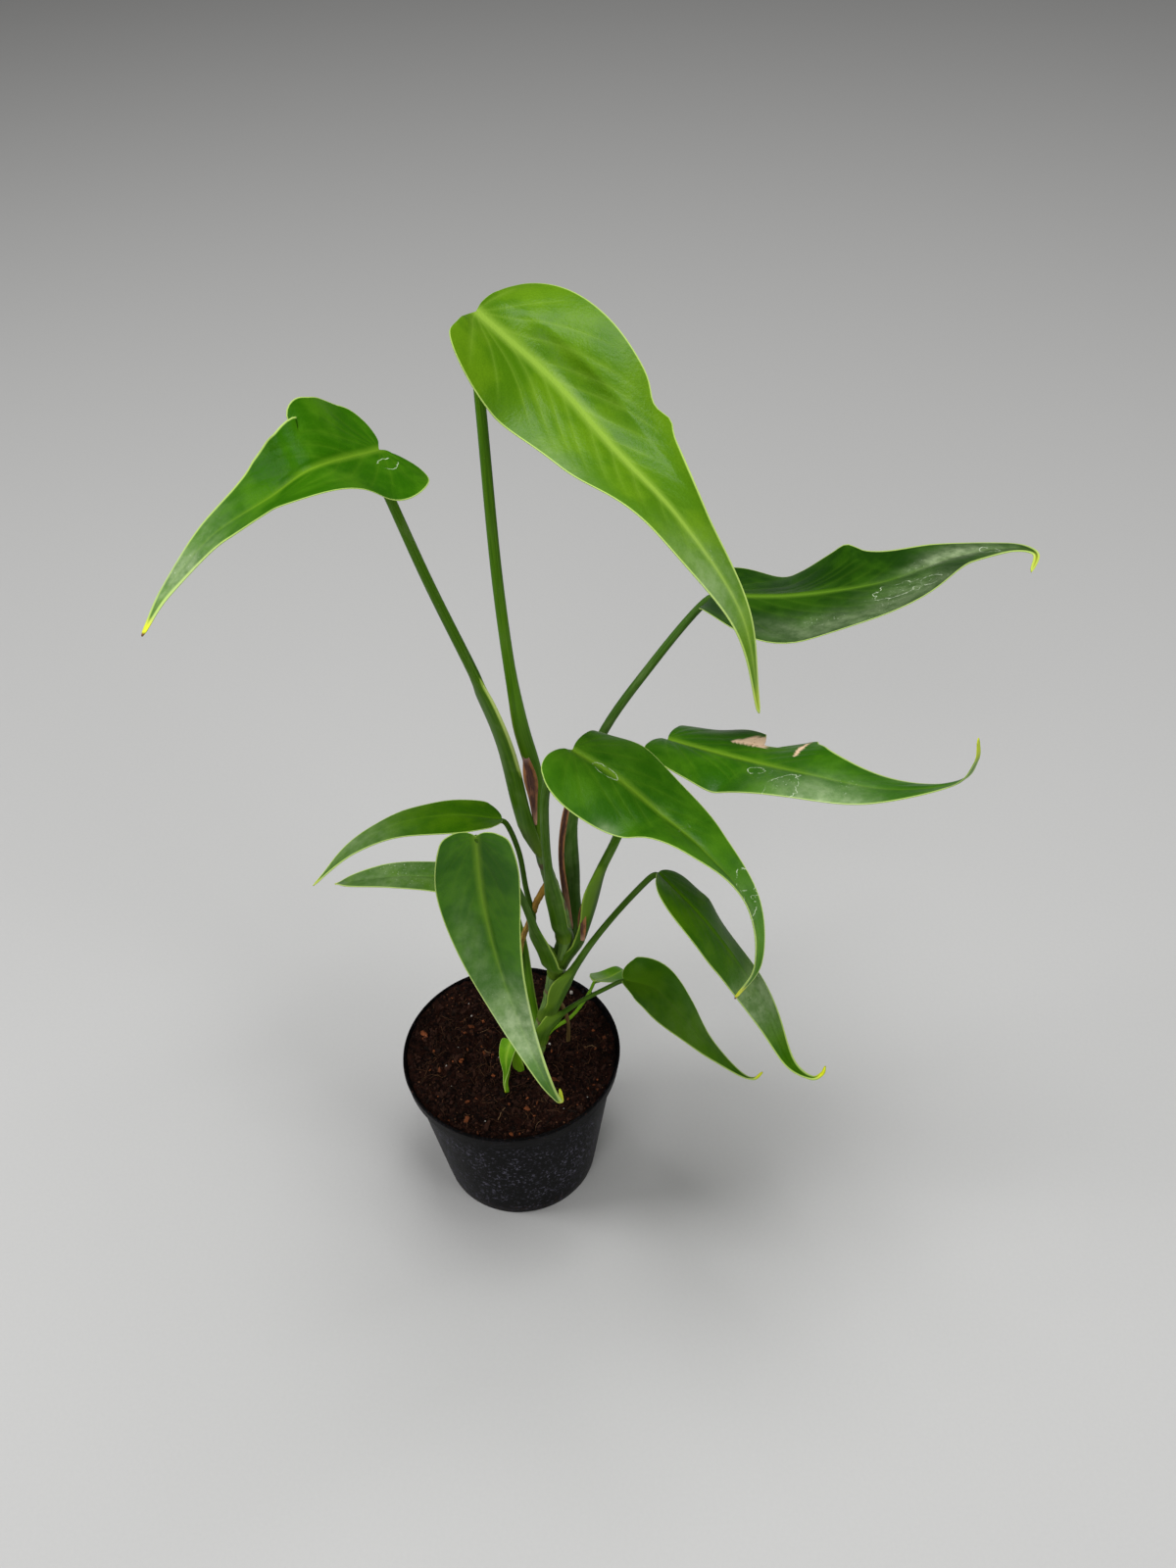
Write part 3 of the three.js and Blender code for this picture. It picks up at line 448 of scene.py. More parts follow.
class Shape:
    """Points in mm with values for the materials, and faces, gathered before they make a mesh."""

    def __init__(self):
        self.parts = []
        self.faces = []
        self.slots = []
        self.count = 0

    def add(self, points, faces, slot=0, **values):
        """Adds points with their faces, and returns the first point's number."""
        first = self.count
        points = np.asarray(points, float).reshape(-1, 3)
        self.parts.append((points, values))
        self.faces += [tuple(first + v for v in face) for face in faces]
        self.slots += [slot] * len(faces)
        self.count += len(points)
        return first

    def join(self, upper, lower, border):
        """Joins two grids, which start at these points, by quads along a border of both."""
        for p, q in zip(border, border[1:]):
            self.faces.append((upper + p, lower + p, lower + q, upper + q))
            self.slots.append(0)

    def mesh(self, name):
        mesh = bpy.data.meshes.new(name)
        points = np.concatenate([points for points, _ in self.parts]) * MM
        mesh.from_pydata(points.tolist(), [], self.faces)
        return mesh

    def values(self, key):
        """One kind of value at every point, and 0 where it wasn't given."""
        width = VALUE_WIDTHS[key]
        return np.concatenate([
            np.reshape(values.get(key, np.zeros((len(points), width))), (len(points), width))
            for points, values in self.parts
        ])

    def build(self, name, materials, node, slot, smooth=True, weld=True):
        """The finished object, riding on the body, standing for its node."""
        mesh = self.mesh(name)
        mesh.polygons.foreach_set("material_index", self.slots)
        for key in sorted({key for _, values in self.parts for key in values}):
            kind, field = ("FLOAT", "value") if VALUE_WIDTHS[key] == 1 else ("FLOAT_VECTOR", "vector")
            mesh.attributes.new(key, kind, "POINT").data.foreach_set(field, self.values(key).ravel())
        if weld:
            weld_points(mesh)
        mesh.polygons.foreach_set("use_smooth", [smooth] * len(mesh.polygons))
        mesh.update()
        for material in materials:
            mesh.materials.append(material)
        obj = add_object(name, mesh)
        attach(obj, "root")
        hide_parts(node)
        return obj


def weld_points(mesh):
    """Joins points that lie together, and turns every face outward."""
    work = bmesh.new()
    work.from_mesh(mesh)
    bmesh.ops.remove_doubles(work, verts=work.verts, dist=WELD)
    bmesh.ops.recalc_face_normals(work, faces=work.faces)
    work.to_mesh(mesh)
    work.free()


def grid_faces(rows, columns, flip=False, wrap=False):
    """The quads of a grid of points, row by row; wrap joins the last column to the first."""
    faces = []
    for i in range(rows - 1):
        for j in range(columns if wrap else columns - 1):
            a = i * columns + j
            b = i * columns + (j + 1) % columns
            face = (a, b, b + columns, a + columns)
            faces.append(face[::-1] if flip else face)
    return faces


def tube(shape, rings, slot=0, **values):
    """A closed stalk through rings of points, with a cap on each end."""
    count, sides = rings.shape[:2]
    faces = grid_faces(count, sides, wrap=True)
    faces.append(tuple(range(sides))[::-1])
    faces.append(tuple((count - 1) * sides + j for j in range(sides)))
    shape.add(rings, faces, slot, **values)


def ring_angles(sides):
    return (np.arange(sides) + 0.5) / sides * 2 * math.pi


def stalk_rings(points, rings, sides, open_way, width, depth, hollow, wing=None):
    """Rings of a stalk along a path, and each point's mm along it and fraction round it.

    width is half its width across, depth how far its round back stands off the axis, and
    hollow how far its open face does: below zero it bulges, above zero it is hollow. wing is
    how much wider one side is."""
    rail = stalk_rail(points, rings - 1, open_way)
    t = np.linspace(0, 1, rings)[:, None]
    angle = ring_angles(sides)[None, :]
    rise = np.sin(angle)
    off = np.where(rise > 0, rise * depth(t), -rise * hollow(t))
    across = np.cos(angle) * width(t)
    if wing is not None:
        across = across + np.maximum(np.cos(angle), 0) * wing(t)
    places = rail.place[:, None] + across[..., None] * rail.side[:, None] - off[..., None] * rail.up[:, None]
    mm = np.broadcast_to(rail.length[:, None], across.shape)
    round_it = np.broadcast_to(angle / (2 * math.pi), across.shape)
    return places, mm, round_it


def depth_inside(polygon, x, y):
    """How far inside a polygon a place is, below zero where it is outside."""
    inside = np.zeros(x.shape, bool)
    nearest = np.full(x.shape, np.inf)
    for (x0, y0), (x1, y1) in zip(polygon, polygon[1:] + polygon[:1]):
        crosses = (y0 > y) != (y1 > y)
        at = (x1 - x0) * (y - y0) / (y1 - y0 if y1 != y0 else 1e-9) + x0
        inside ^= crosses & (x < at)
        f = np.clip(((x - x0) * (x1 - x0) + (y - y0) * (y1 - y0)) / ((x1 - x0) ** 2 + (y1 - y0) ** 2), 0, 1)
        nearest = np.minimum(nearest, np.hypot(x - x0 - f * (x1 - x0), y - y0 - f * (y1 - y0)))
    return np.where(inside, nearest, -nearest)


# The blades

def on_side(marks, hand):
    """The marks on one side of a blade, each without its first number, which is the side."""
    return [rest for side, *rest in marks if side == hand]


def tip_round(along, total):
    """The share that is left of a blade's width as its tip rounds off."""
    return np.sqrt(np.clip((total - along) / TIP_ROUND, 0.01, 1))


def half_outline(leaf, total, lobe, shoulder):
    return [
        (s * lobe + shoulder * t * t if s < 0 else total * s ** leaf["belly"], t * leaf["half_width"])
        for s, t in HALF_OUTLINE
    ]


def margin_line(leaf, hand, total, row):
    """The flat margin of one half, in mm along and across, at fractions of its outline."""
    which = 0 if hand > 0 else 1
    edge = spline(half_outline(leaf, total, leaf["lobes"][which], leaf["shoulder"][which]), row)
    tipward = edge[:, 0] / total
    edge[:, 1] = np.hypot(edge[:, 1], leaf["hook"] * smoothstep(tipward, 0.8, 0.95))
    edge[:, 1] *= 1 - leaf["slim"] * smoothstep(tipward, 0.86, 0.95)
    edge[:, 1] *= tip_round(edge[:, 0], total)
    for centre, reach, mm in on_side(leaf["nicks"], hand):
        edge[:, 1] += mm * bell(tipward, centre, reach)
    return edge


def flat_half(leaf, hand, total):
    """The points of one half while it is flat: the mm along and across, the share of the way
    from midrib to margin, and the mm left to the margin."""
    detail = DETAIL[leaf["size"]]
    even = np.linspace(0, 1, (leaf["rows"] or detail["rows"]) + 1)
    row = even - ROW_CROWDING * np.sin(2 * math.pi * even) / (2 * math.pi)
    edge = margin_line(leaf, hand, total, row)
    plain = spline(half_outline(leaf, total, 0, 0), row)
    root = np.maximum(0, plain[:, 0] - VEIN_SWEEP * plain[:, 1])
    a = np.concatenate([INNER_COLUMNS, np.linspace(0.11, 0.95, detail["columns"]), OUTER_COLUMNS])
    a = np.broadcast_to(a, (len(row), len(a)))
    if hand < 0 and leaf["tear"]:
        a = a * torn_back(leaf, root, edge, total)[:, None]
    along = root[:, None] + (edge[:, :1] - root[:, None]) * a
    margin = (a[:, -1:] - a) * np.hypot(edge[:, 0] - root, edge[:, 1])[:, None]
    return along, edge[:, 1:] * a, a / a[:, -1:], margin


def torn_back(leaf, root, edge, total):
    """How far out each row still reaches where a piece is torn out, as a fraction."""
    tear = np.array(leaf["tear"]) * (total, leaf["half_width"])
    steps = np.linspace(0, 1, 241)
    reach = []
    for start, (x, y) in zip(root, edge):
        along = start + (x - start) * steps
        bank = np.interp(along, tear[:, 0], tear[:, 1], left=np.inf, right=np.inf)
        past = y * steps > bank
        reach.append(steps[np.argmax(past)] if past.any() else 1.0)
    return np.array(reach)


def pleated(leaf, hand, along, out, total):
    """Where the flat places of one half go as its margin folds over itself."""
    laid_along, laid_out, rise = along, out, np.zeros_like(out)
    for centre, reach, fold, tuck, up in on_side(leaf["pleats"], hand):
        u = (along - centre * total) / reach
        outer = smoothstep(out / leaf["half_width"], 0.4, 1)
        share = np.where(u > 0, 1, PLEAT_BACK)
        laid_along = laid_along - fold * share * u * bell(u, 0, 1) * outer
        laid_out = laid_out - tuck * bell(u, -0.1, 0.75) * outer
        rise = rise + up * u * bell(u, 0, math.sqrt(2)) * outer
    return laid_along, laid_out, rise


def bent_half(leaf, hand, rail, along, out):
    """Where the flat places lie once the blade is bent, which way its upper face looks there,
    and how far a pleat lifts them."""
    laid_along, laid_out, rise = pleated(leaf, hand, along, out, rail.total)
    lift = spline(leaf["right" if hand > 0 else "left"], laid_along / rail.total)
    angle = np.radians(lift + leaf["curl"] * laid_out / leaf["half_width"] / 2)
    angle = angle * np.minimum(1, out / leaf["half_width"] * leaf["soft"])
    cosine, sine = np.cos(angle)[..., None], np.sin(angle)[..., None]
    place, side, up = rail.at(laid_along)
    place = place + rail.along[0] * np.minimum(laid_along, 0)[..., None]
    outward = hand * side * cosine + up * sine
    return place + outward * laid_out[..., None], up * cosine - hand * side * sine, rise


def side_veins(leaf, hand, along, out, seed):
    """Which side vein a flat place is at, as a number that is whole on a vein, and the mm
    between veins there."""
    w, gap = leaf["half_width"], DETAIL[leaf["size"]]["veins"]
    lead = along - VEIN_SPREAD * out - VEIN_ARCH * out**2 / w
    slope = VEIN_SPREAD + 2 * VEIN_ARCH * out / w
    first = np.arctan2(1, VEIN_SPREAD + VEIN_ARCH * out / w)
    fan = (np.arctan2(out, along) - first) / FAN_STEP
    phase = np.where(lead >= 0, lead / gap, -fan)
    space = np.where(lead >= 0, gap / np.hypot(1, slope), np.hypot(along, out) * FAN_STEP)
    phase = phase + 0.1 * np.sin(phase * 2.3 + seed) + (0.35 if hand < 0 else 0)
    return phase, space


def relief(leaf, hand, seed, along, tipward, width, margin, phase):
    """How far the blade stands off its bent form: it swells a little between its side veins,
    and waves at its margin."""
    size = leaf["half_width"] / FULL_WIDTH
    from_vein = np.abs(phase - np.round(phase))
    quilt = size * (QUILT_RISE * np.sin(np.pi * from_vein) ** 1.2 - QUILT_SINK) * leaf["quilt"]
    fade = smoothstep(width, 0.04, 0.2) * smoothstep(margin, 0, 5) * (1 - smoothstep(tipward, 0.7, 0.95))
    wave = np.sin(along / (6.1 * size + 3) + seed)
    wave = wave + SHORT_WAVE * np.sin(along / (3.4 * size + 2) + 2.1 * seed * hand)
    wave = WAVE_RISE * size * wave * width**3
    for centre, reach, mm in on_side(leaf["ruffles"], hand):
        wave = wave + mm * bell(tipward, centre, reach) * width**2
    return quilt * fade + wave


def half_thickness(leaf, along, share, total):
    half = HALF_THICKNESS * (1 - 0.5 * share**6)
    if leaf["hook"]:
        thicker = HOOK_THICKNESS * smoothstep(along / total, 0.9, 0.95) * tip_round(along, total)
        half = half + thicker * (1 - 0.5 * share**2)
    return half


def dryness(leaf, hand, along, out, total):
    """1 on the dry patches, which are on the left half."""
    dry = np.zeros_like(out)
    if hand < 0:
        for patch in leaf["dry"]:
            outline = [(s * total, t * leaf["half_width"]) for s, t in patch]
            dry = np.maximum(dry, smoothstep(depth_inside(outline, along, out), -0.35, 0.25))
    return dry


# The whitish film: partly dried water and partly painted sheen, with patches of painted sheen laid where
# highlights fall.
def film_and_sheen_strength(leaf, tipward, across):
    centre, reach, strength = leaf["film"]
    film = strength * bell(tipward, centre, reach)
    # Patches of painted sheen, laid where highlights fall.
    for along, beside, long, wide, more in leaf["painted_sheen"]:
        film = film + more * bell(tipward, along, long) * bell(across, beside, wide)
    return film


def nearest_ring(leaf, tipward, across, total):
    """Where a place lies in the nearest outline of a dried drop: 1 from its middle is on it."""
    best = np.stack([np.full_like(tipward, 9), np.zeros_like(tipward), np.full_like(tipward, 4)], -1)
    for along, out, long, wide in leaf["rings"]:
        x = (tipward - along) * total / long
        y = (across - out) * leaf["half_width"] / wide
        here = np.stack([x, y, np.full_like(x, math.sqrt(long * wide))], -1)
        nearer = np.hypot(x, y) < np.hypot(best[..., 0], best[..., 1])
        best = np.where(nearer[..., None], here, best)
    return best


def half_blade(shape, leaf, seed, rail, hand):
    """Both faces of one half of a blade, and the strip that joins them at the margin."""
    total = rail.total
    size = leaf["half_width"] / FULL_WIDTH
    along, out, share, margin = flat_half(leaf, hand, total)
    tipward, width = along / total, out / leaf["half_width"]
    place, normal, rise = bent_half(leaf, hand, rail, along, out)
    phase, space = side_veins(leaf, hand, along, out, seed)
    body = relief(leaf, hand, seed, along, tipward, width, margin, phase) + rise
    groove = GROOVE_DEPTH * size * bell(out, 0, GROOVE_REACH * size) * (1 - smoothstep(tipward, 0.8, 1))
    half = half_thickness(leaf, along, share, total)

    margin = margin / min(1, 2 * size)
    # A painted rim highlight: the pale margin is made wider where an edge catches the light.
    for (start,) in on_side(leaf["painted_rim_highlight"], hand):
        margin = margin * (1 - 0.5 * smoothstep(tipward, start, start + 0.1))
    everywhere = np.ones_like(out)
    film = film_and_sheen_strength(leaf, tipward, hand * width)
    dry = dryness(leaf, hand, along, out, total)
    values = dict(
        flat=np.stack([along, hand * out, seed * SEED_SPACING * everywhere], -1),
        vein=np.stack([phase, space, margin], -1),
        film=np.stack([film, leaf["tip"] * everywhere, leaf["burnt"] * everywhere], -1),
        mark=nearest_ring(leaf, tipward, hand * width, total),
    )
    starts = []
    for under in (0, 1):
        offset = body - half if under else body + half - groove * leaf["groove"]
        spot = np.stack([tipward, under * everywhere, dry], -1)
        faces = grid_faces(*out.shape, flip=(hand > 0) == bool(under))
        starts.append(shape.add(place + normal * offset[..., None], faces, spot=spot, **values))
    rows, columns = out.shape
    shape.join(*starts, range(columns - 1, rows * columns, columns))
    shape.join(*starts, range((rows - 1) * columns, rows * columns))


# The petioles

def clasped(rings, mm, foot):
    """Lets the sheath's lowest rings open out of a ring round the stem."""
    stem = Rail(STEM_PATH, STEM_STEPS)
    k = np.argmin(np.linalg.norm(stem.place - np.array(foot, float), axis=1))
    low, high = stem.length[k] - CLASP_BELOW, stem.length[k] + CLASP_ABOVE
    count = int(np.argmax(mm > CLASP_ABOVE + CLASP_BLEND))
    sides = rings.shape[1]
    first = rings[0, 0] - rings[0, sides // 2]
    angle = ring_angles(sides)[:, None]
    for i in range(count):
        u = i / count
        length = low + (high - low) * u
        place, _, _ = stem.at(np.array(length))
        along = unit(np.array([np.interp(length, stem.length, c) for c in stem.along.T]))
        across = unit(first - along * first.dot(along))
        radius = spline(STEM_RADII, np.interp(length, stem.length, np.linspace(0, 1, STEM_STEPS + 1)))
        radius = radius - 0.3 + 0.9 * math.sqrt(smoothstep(u, 0, 0.3))
        ring = place + radius * (np.cos(angle) * across - np.sin(angle) * np.cross(across, along))
        weight = smoothstep(u, 0.2, 1)
        rings[i] = ring * (1 - weight) + rings[i] * weight
    return rings


def rib_points(leaf, rail, top, end):
    """The petiole's path goes on as a rib that sinks into the blade's lower face."""
    points = []
    for step in RIB_STEPS:
        place, _, up = rail.at(np.array(step * leaf["rib"] * rail.total))
        deeper = 1 + 1.6 * (1 - smoothstep(step, 0.02, 0.2))
        points.append(place - up * (top + (end - top) * step + RIB_SINK * deeper))
    return points


def petiole(shape, name, leaf, rail):
    """The petiole with its sheath, and the rib that it becomes below the blade."""
    foot, middle, top = leaf["radius"][:3]
    end = leaf["radius"][3] if len(leaf["radius"]) > 3 else top * RIB_TAPER
    points = [np.array(p, float) for p in leaf["petiole"]] + rib_points(leaf, rail, top, end)
    blend = (len(leaf["petiole"]) - 1) / (len(points) - 1)
    sheath_width, sheath_end, open_way = leaf["sheath"]
    wing, wing_start, wing_peak = leaf["wing"]

    def radius(t):
        taper = np.clip((t - blend) / (1 - blend), 0, 1)
        return spline((foot, middle, top), t / blend) * (1 - taper) + end * taper

    def sheathed(t):
        return 1 - smoothstep(t / blend / sheath_end, leaf["crisp"], 1)

    def winged(t):
        x = t / blend / sheath_end
        return wing * smoothstep(x, wing_start, wing_peak) * (1 - smoothstep(x, min(wing_peak, 0.9), 1.04))

    detail = DETAIL[leaf["size"]]
    rings, mm, round_it = stalk_rings(
        points, detail["rings"], detail["sides"], open_way,
        width=lambda t: radius(t) + (sheath_width - radius(t)) * sheathed(t),
        depth=radius,
        hollow=lambda t: radius(t) * (1.1 * sheathed(t) - 1),
        wing=winged,
    )
    if name in CLASPING:
        rings = clasped(rings, mm[:, 0], leaf["petiole"][0])
    t = np.broadcast_to(np.linspace(0, 1, len(mm))[:, None], mm.shape)
    across = np.cos(round_it * 2 * math.pi)
    bright, start = leaf["rim"]
    rim = bright * np.abs(across) ** 14 * sheathed(t) * smoothstep(mm, start - 6, start + 6)
    fresh = np.clip(winged(t) * np.maximum(across, 0), 0, 1)
    spot = np.stack([t / blend, fresh, np.zeros_like(t)], -1)
    tube(shape, rings, 1, stalk=np.stack([mm, round_it, rim], -1), spot=spot)


def make_leaf(name, leaf, materials):
    rail = Rail(leaf["midrib"], MIDRIB_STEPS)
    shape = Shape()
    for hand in (1, -1):
        half_blade(shape, leaf, int(name[-2:]), rail, hand)
    petiole(shape, name, leaf, rail)
    shape.build(name + "_fine", materials, node=name, slot="young_leaf" if name in YOUNG_LEAVES else "leaf")


# The stem, the roots and the dry sheaths

def round_stalk(points, radius, rings, sides, rough, seed, dull=0):
    """A shape of one round stalk, lumpy by the share rough of its radius."""
    places, mm, round_it = stalk_rings(
        points, rings, sides, (0, 1, 0.01), width=radius, depth=radius, hollow=lambda t: -radius(t),
    )
    centre = places.mean(axis=1, keepdims=True)
    lumps = [noise.noise(Vector(p / 2.2) + Vector((seed, 0, 0))) for p in places.reshape(-1, 3)]
    places = centre + (places - centre) * (1 + rough * np.array(lumps).reshape(mm.shape)[..., None])
    shape = Shape()
    tube(shape, places, stalk=np.stack([mm, round_it, np.full_like(mm, dull)], -1))
    return shape


def stem_radius(t):
    """The stem swells at each node and is nipped just below it."""
    swell = 1
    for node in STEM_NODES:
        swell = swell + NODE_SWELL * bell(t, node, 0.012) - NODE_NIP * bell(t, node - 0.02, 0.009)
    return spline(STEM_RADII, t) * swell


def make_stem(material):
    shape = round_stalk(STEM_PATH, stem_radius, 160, 32, rough=0.05, seed=3)
    shape.build("stem_fine", [material], node="stem", slot="stem")


def make_root(name, root, material):
    def radius(t):
        return spline(root["radii"], t)

    shape = round_stalk(root["path"], radius, 90, 14, rough=0.22, seed=len(name), dull=root["dull"])
    shape.build(name + "_fine", [material], node=name, slot="root")


def make_dry_sheath(name, sheath, material):
    """A thin curved scale, ragged at its top."""
    rows, columns = 48, 25
    seed = len(name)
    rail = stalk_rail(sheath["path"], rows - 1, sheath["open"])
    t = np.linspace(0, 1, rows)[:, None]
    across = np.linspace(-1, 1, columns)[None, :]
    width = spline(sheath["widths"], t)
    (deep, wide), (shallow, narrow) = DRY_CREASES
    crease = deep * np.sin(across * wide + seed) + shallow * np.sin(across * narrow + t * 4)
    form = DRY_BOW * (1 - across**2) * np.sqrt(width / 3) + crease * (1 - np.abs(across))
    places = rail.place[:, None] + (across * width)[..., None] * rail.side[:, None]
    ragged = np.array([noise.noise(Vector((c * 2.6, seed, 0))) for c in across[0]])
    ragged = rail.along[:, None] * (DRY_RAGGED * ragged * smoothstep(t, 0.75, 1))[..., None]
    stalk = np.stack(np.broadcast_arrays(rail.length[:, None], (across + 1) / 2, t), -1)
    shape = Shape()
    starts = []
    for half in (DRY_HALF_THICKNESS, -DRY_HALF_THICKNESS):
        face = places - (form + half)[..., None] * rail.up[:, None] + ragged
        starts.append(shape.add(face, grid_faces(rows, columns, flip=half < 0), stalk=stalk))
    count = rows * columns
    for side in (range(0, count, columns), range(columns - 1, count, columns)):
        shape.join(*starts, side)
    for end in (range(columns), range(count - columns, count)):
        shape.join(*starts, end)
    shape.build(name + "_fine", [material], node=name, slot="dry_sheath")


# The soil

def soil_height(x, y):
    out = math.hypot(x, y) / RIM_RADIUS
    towards_heap = max(0, math.cos(math.atan2(y, x) - SOIL_HEAP_AZIMUTH))
    height = SOIL_TOP + SOIL_HEAP * towards_heap * out**3 + SOIL_EDGE * out**8
    for width, mm, layer in SOIL_LUMPS:
        height += mm * noise.noise(Vector((x / width, y / width, layer)))
    return height


def make_soil(material):
    """The bed: a rough surface, closed by the pot's own inner wall and floor."""
    rings, spokes = 104, 300
    bottom, collar = FLOOR + 0.4, POT_HEIGHT - COLLAR_HEIGHT
    levels = [
        circle(0.5, bottom, spokes),
        circle(BASE_RADIUS - WALL - 0.6, bottom, spokes),
        circle(inner_radius(collar) - 0.3, collar, spokes),
    ]
    for i in range(rings):
        level = circle(max(SOIL_RADIUS * (1 - i / (rings - 1)), 0.3), 0, spokes)
        level[:, 2] = [soil_height(x, y) for x, y, _ in level]
        levels.append(level)
    shape = Shape()
    tube(shape, np.array(levels))
    shape.build("soil_bed", [material], node="soil", slot="soil")


def unit_lump(kind):
    """The points and faces of a lump that reaches 1 each way: a chip or a round grain."""
    work = bmesh.new()
    if kind == "grain":
        bmesh.ops.create_icosphere(work, subdivisions=1, radius=1)
    else:
        bmesh.ops.create_cube(work, size=2)
        bmesh.ops.subdivide_edges(work, edges=work.edges, cuts=1, use_grid_fill=True)
    points = np.array([v.co[:] for v in work.verts])
    faces = [tuple(v.index for v in f.verts) for f in work.faces]
    work.free()
    return points, faces


def turned(rng, tilt):
    spin = Matrix.Rotation(rng.uniform(0, 2 * math.pi), 3, "Z")
    lean = Matrix.Rotation(rng.gauss(0, tilt), 3, "X") @ Matrix.Rotation(rng.gauss(0, tilt), 3, "Y")
    return np.array(spin @ lean)


def soil_spot(rng, reach):
    angle = rng.uniform(0, 2 * math.pi)
    r = reach * math.sqrt(rng.random())
    return r * math.cos(angle), r * math.sin(angle)


def scatter(shape, rng, base, count, size, tilt, sink, jitter, spots=()):
    """Lumps of random size and lie on the soil; spots are (x, y, scale, tint) given one by one."""
    points, faces = base
    for i in range(count + len(spots)):
        if i < len(spots):
            x, y, scale, tint = spots[i]
        else:
            x, y = soil_spot(rng, SOIL_RADIUS - 1.5)
            scale, tint = 1, rng.random()
        a, b, c = (rng.uniform(*limits) * scale / 2 for limits in size)
        dents = np.array([[1 + rng.uniform(-jitter, jitter) for _ in range(3)] for _ in points])
        lump = (points * dents * (a, b, c)) @ turned(rng, tilt).T
        lump = lump + (x, y, soil_height(x, y) + c * sink)
        shape.add(lump, faces, tint=np.full(len(points), tint))


def fibre(shape, rng):
    """A thin bent fibre that lies on the soil, if enough of it lies within the pot."""
    x, y = soil_spot(rng, SOIL_RADIUS - 5)
    turn, reach, bend = rng.uniform(0, 2 * math.pi), rng.uniform(2.5, 9), rng.uniform(-1, 1)
    path = []
    for step in range(7):
        f = step / 6 - 0.5
        px, py = x + reach * f * math.cos(turn + bend * f), y + reach * f * math.sin(turn + bend * f)
        if math.hypot(px, py) > SOIL_RADIUS - 1:
            break
        path.append((px, py, soil_height(px, py) + 0.35 + 0.5 * rng.random()))
    if len(path) >= 4:
        thick = rng.uniform(0.08, 0.2)

        def even(t):
            return np.full_like(t, thick)

        rings, mm, _ = stalk_rings(path, 14, 5, (0, 0, 1), width=even, depth=even, hollow=lambda t: -even(t))
        tube(shape, rings, tint=np.full(mm.size, rng.random() ** 2))


# Chips and grains that show from afar: x, y, scale, tint. The tint of the reddest is near 1.
RED_CHIPS = [
    (-49, 14, 1.1, 0.97), (-23, 20, 1.3, 0.95), (-24, -43, 1.1, 0.96), (0, -53, 0.9, 0.98),
    (-42, 24, 1.0, 0.9), (-17, 36, 1.0, 0.88), (45, -20, 0.8, 0.9), (31, 20, 0.9, 0.86),
    (-35, -8, 1.0, 0.85),
]
PERLITE = [
    (-48, 13, 0.9, 0.3), (-14, -44, 0.8, 0.6), (34, 41, 2.3, 0.2), (41, -32, 0.9, 0.5),
    (21, 5, 1.5, 0.9), (-30, 6, 0.6, 0.4), (28, -38, 0.5, 0.5), (-33, -20, 0.6, 0.7),
]
FIBRES = 320


def make_litter():
    rng = random.Random(5)
    chip, grain = unit_lump("chip"), unit_lump("grain")
    bark, crumbs, perlite, fibres = Shape(), Shape(), Shape(), Shape()
    scatter(bark, rng, chip, 130, ((2.2, 5), (1.1, 2.2), (0.6, 1.2)), 0.35, 0.35, 0.28, RED_CHIPS)
    scatter(bark, rng, chip, 1100, ((0.9, 2.4), (0.6, 1.4), (0.4, 1.0)), 0.6, 0.4, 0.3)
    scatter(crumbs, rng, grain, 2600, ((0.5, 1.6), (0.5, 1.4), (0.4, 1.1)), 0.8, 0.5, 0.25)
    scatter(perlite, rng, grain, 5, ((1.0, 1.6), (0.9, 1.5), (0.8, 1.3)), 0.8, 0.7, 0.14, PERLITE)
    for _ in range(FIBRES):
        fibre(fibres, rng)
    for name, shape, kind, smooth in (
        ("soil_bark", bark, "bark", False), ("soil_crumbs", crumbs, "crumb", False),
        ("soil_perlite", perlite, "perlite", True), ("soil_fibres", fibres, "fibre", True),
    ):
        material = litter_material(kind, **LITTER[kind])
        shape.build(name, [material], node="soil", slot="soil", smooth=smooth, weld=False)


# The pot

def inner_radius(z):
    return BASE_RADIUS + (RIM_RADIUS - COLLAR_STEP - BASE_RADIUS) * z / POT_HEIGHT - WALL


def apply_modifier(obj, kind, **settings):
    made = obj.modifiers.new(kind.lower(), kind)
    for key, value in settings.items():
        setattr(made, key, value)
    with bpy.context.temp_override(object=obj, active_object=obj):
        bpy.ops.object.modifier_apply(modifier=made.name)


def pot_profile():
    """Radius and height round the pot's section: foot, wall, collar, lip, inside and floor."""
    base, rim, top = BASE_RADIUS, RIM_RADIUS, POT_HEIGHT
    collar = top - COLLAR_HEIGHT
    inner, low = inner_radius(collar), inner_radius(FLOOR)
    outer = inner + WALL
    return [
        (0.2, 0.9), (base - 7, 0.9), (base - 5.5, 0), (base - 1.6, 0), (base - 0.5, 0.35), (base, 1.3),
        (base + 1.2, 8), (outer - 0.15, collar - 1.5), (outer, collar - 0.2),
        (outer + 0.5, collar), (rim - 1.5, collar + 0.15), (rim - 1.1, collar + 0.6),
        (rim - 0.85, top - 3.1), (rim - 0.75, top - 2.6), (rim - 0.15, top - 2.3), (rim, top - 1.6),
        (rim - 0.1, top - 0.7), (rim - 0.4, top - 0.15), (rim - 0.8, top), (rim - 1.2, top - 0.2),
        (rim - 1.5, top - 0.8), (inner + 1, collar + 2), (inner, collar),
        (low + 0.4, FLOOR + 1.2), (low - 0.6, FLOOR + 0.1), (base - 6, FLOOR), (0.2, FLOOR),
    ]


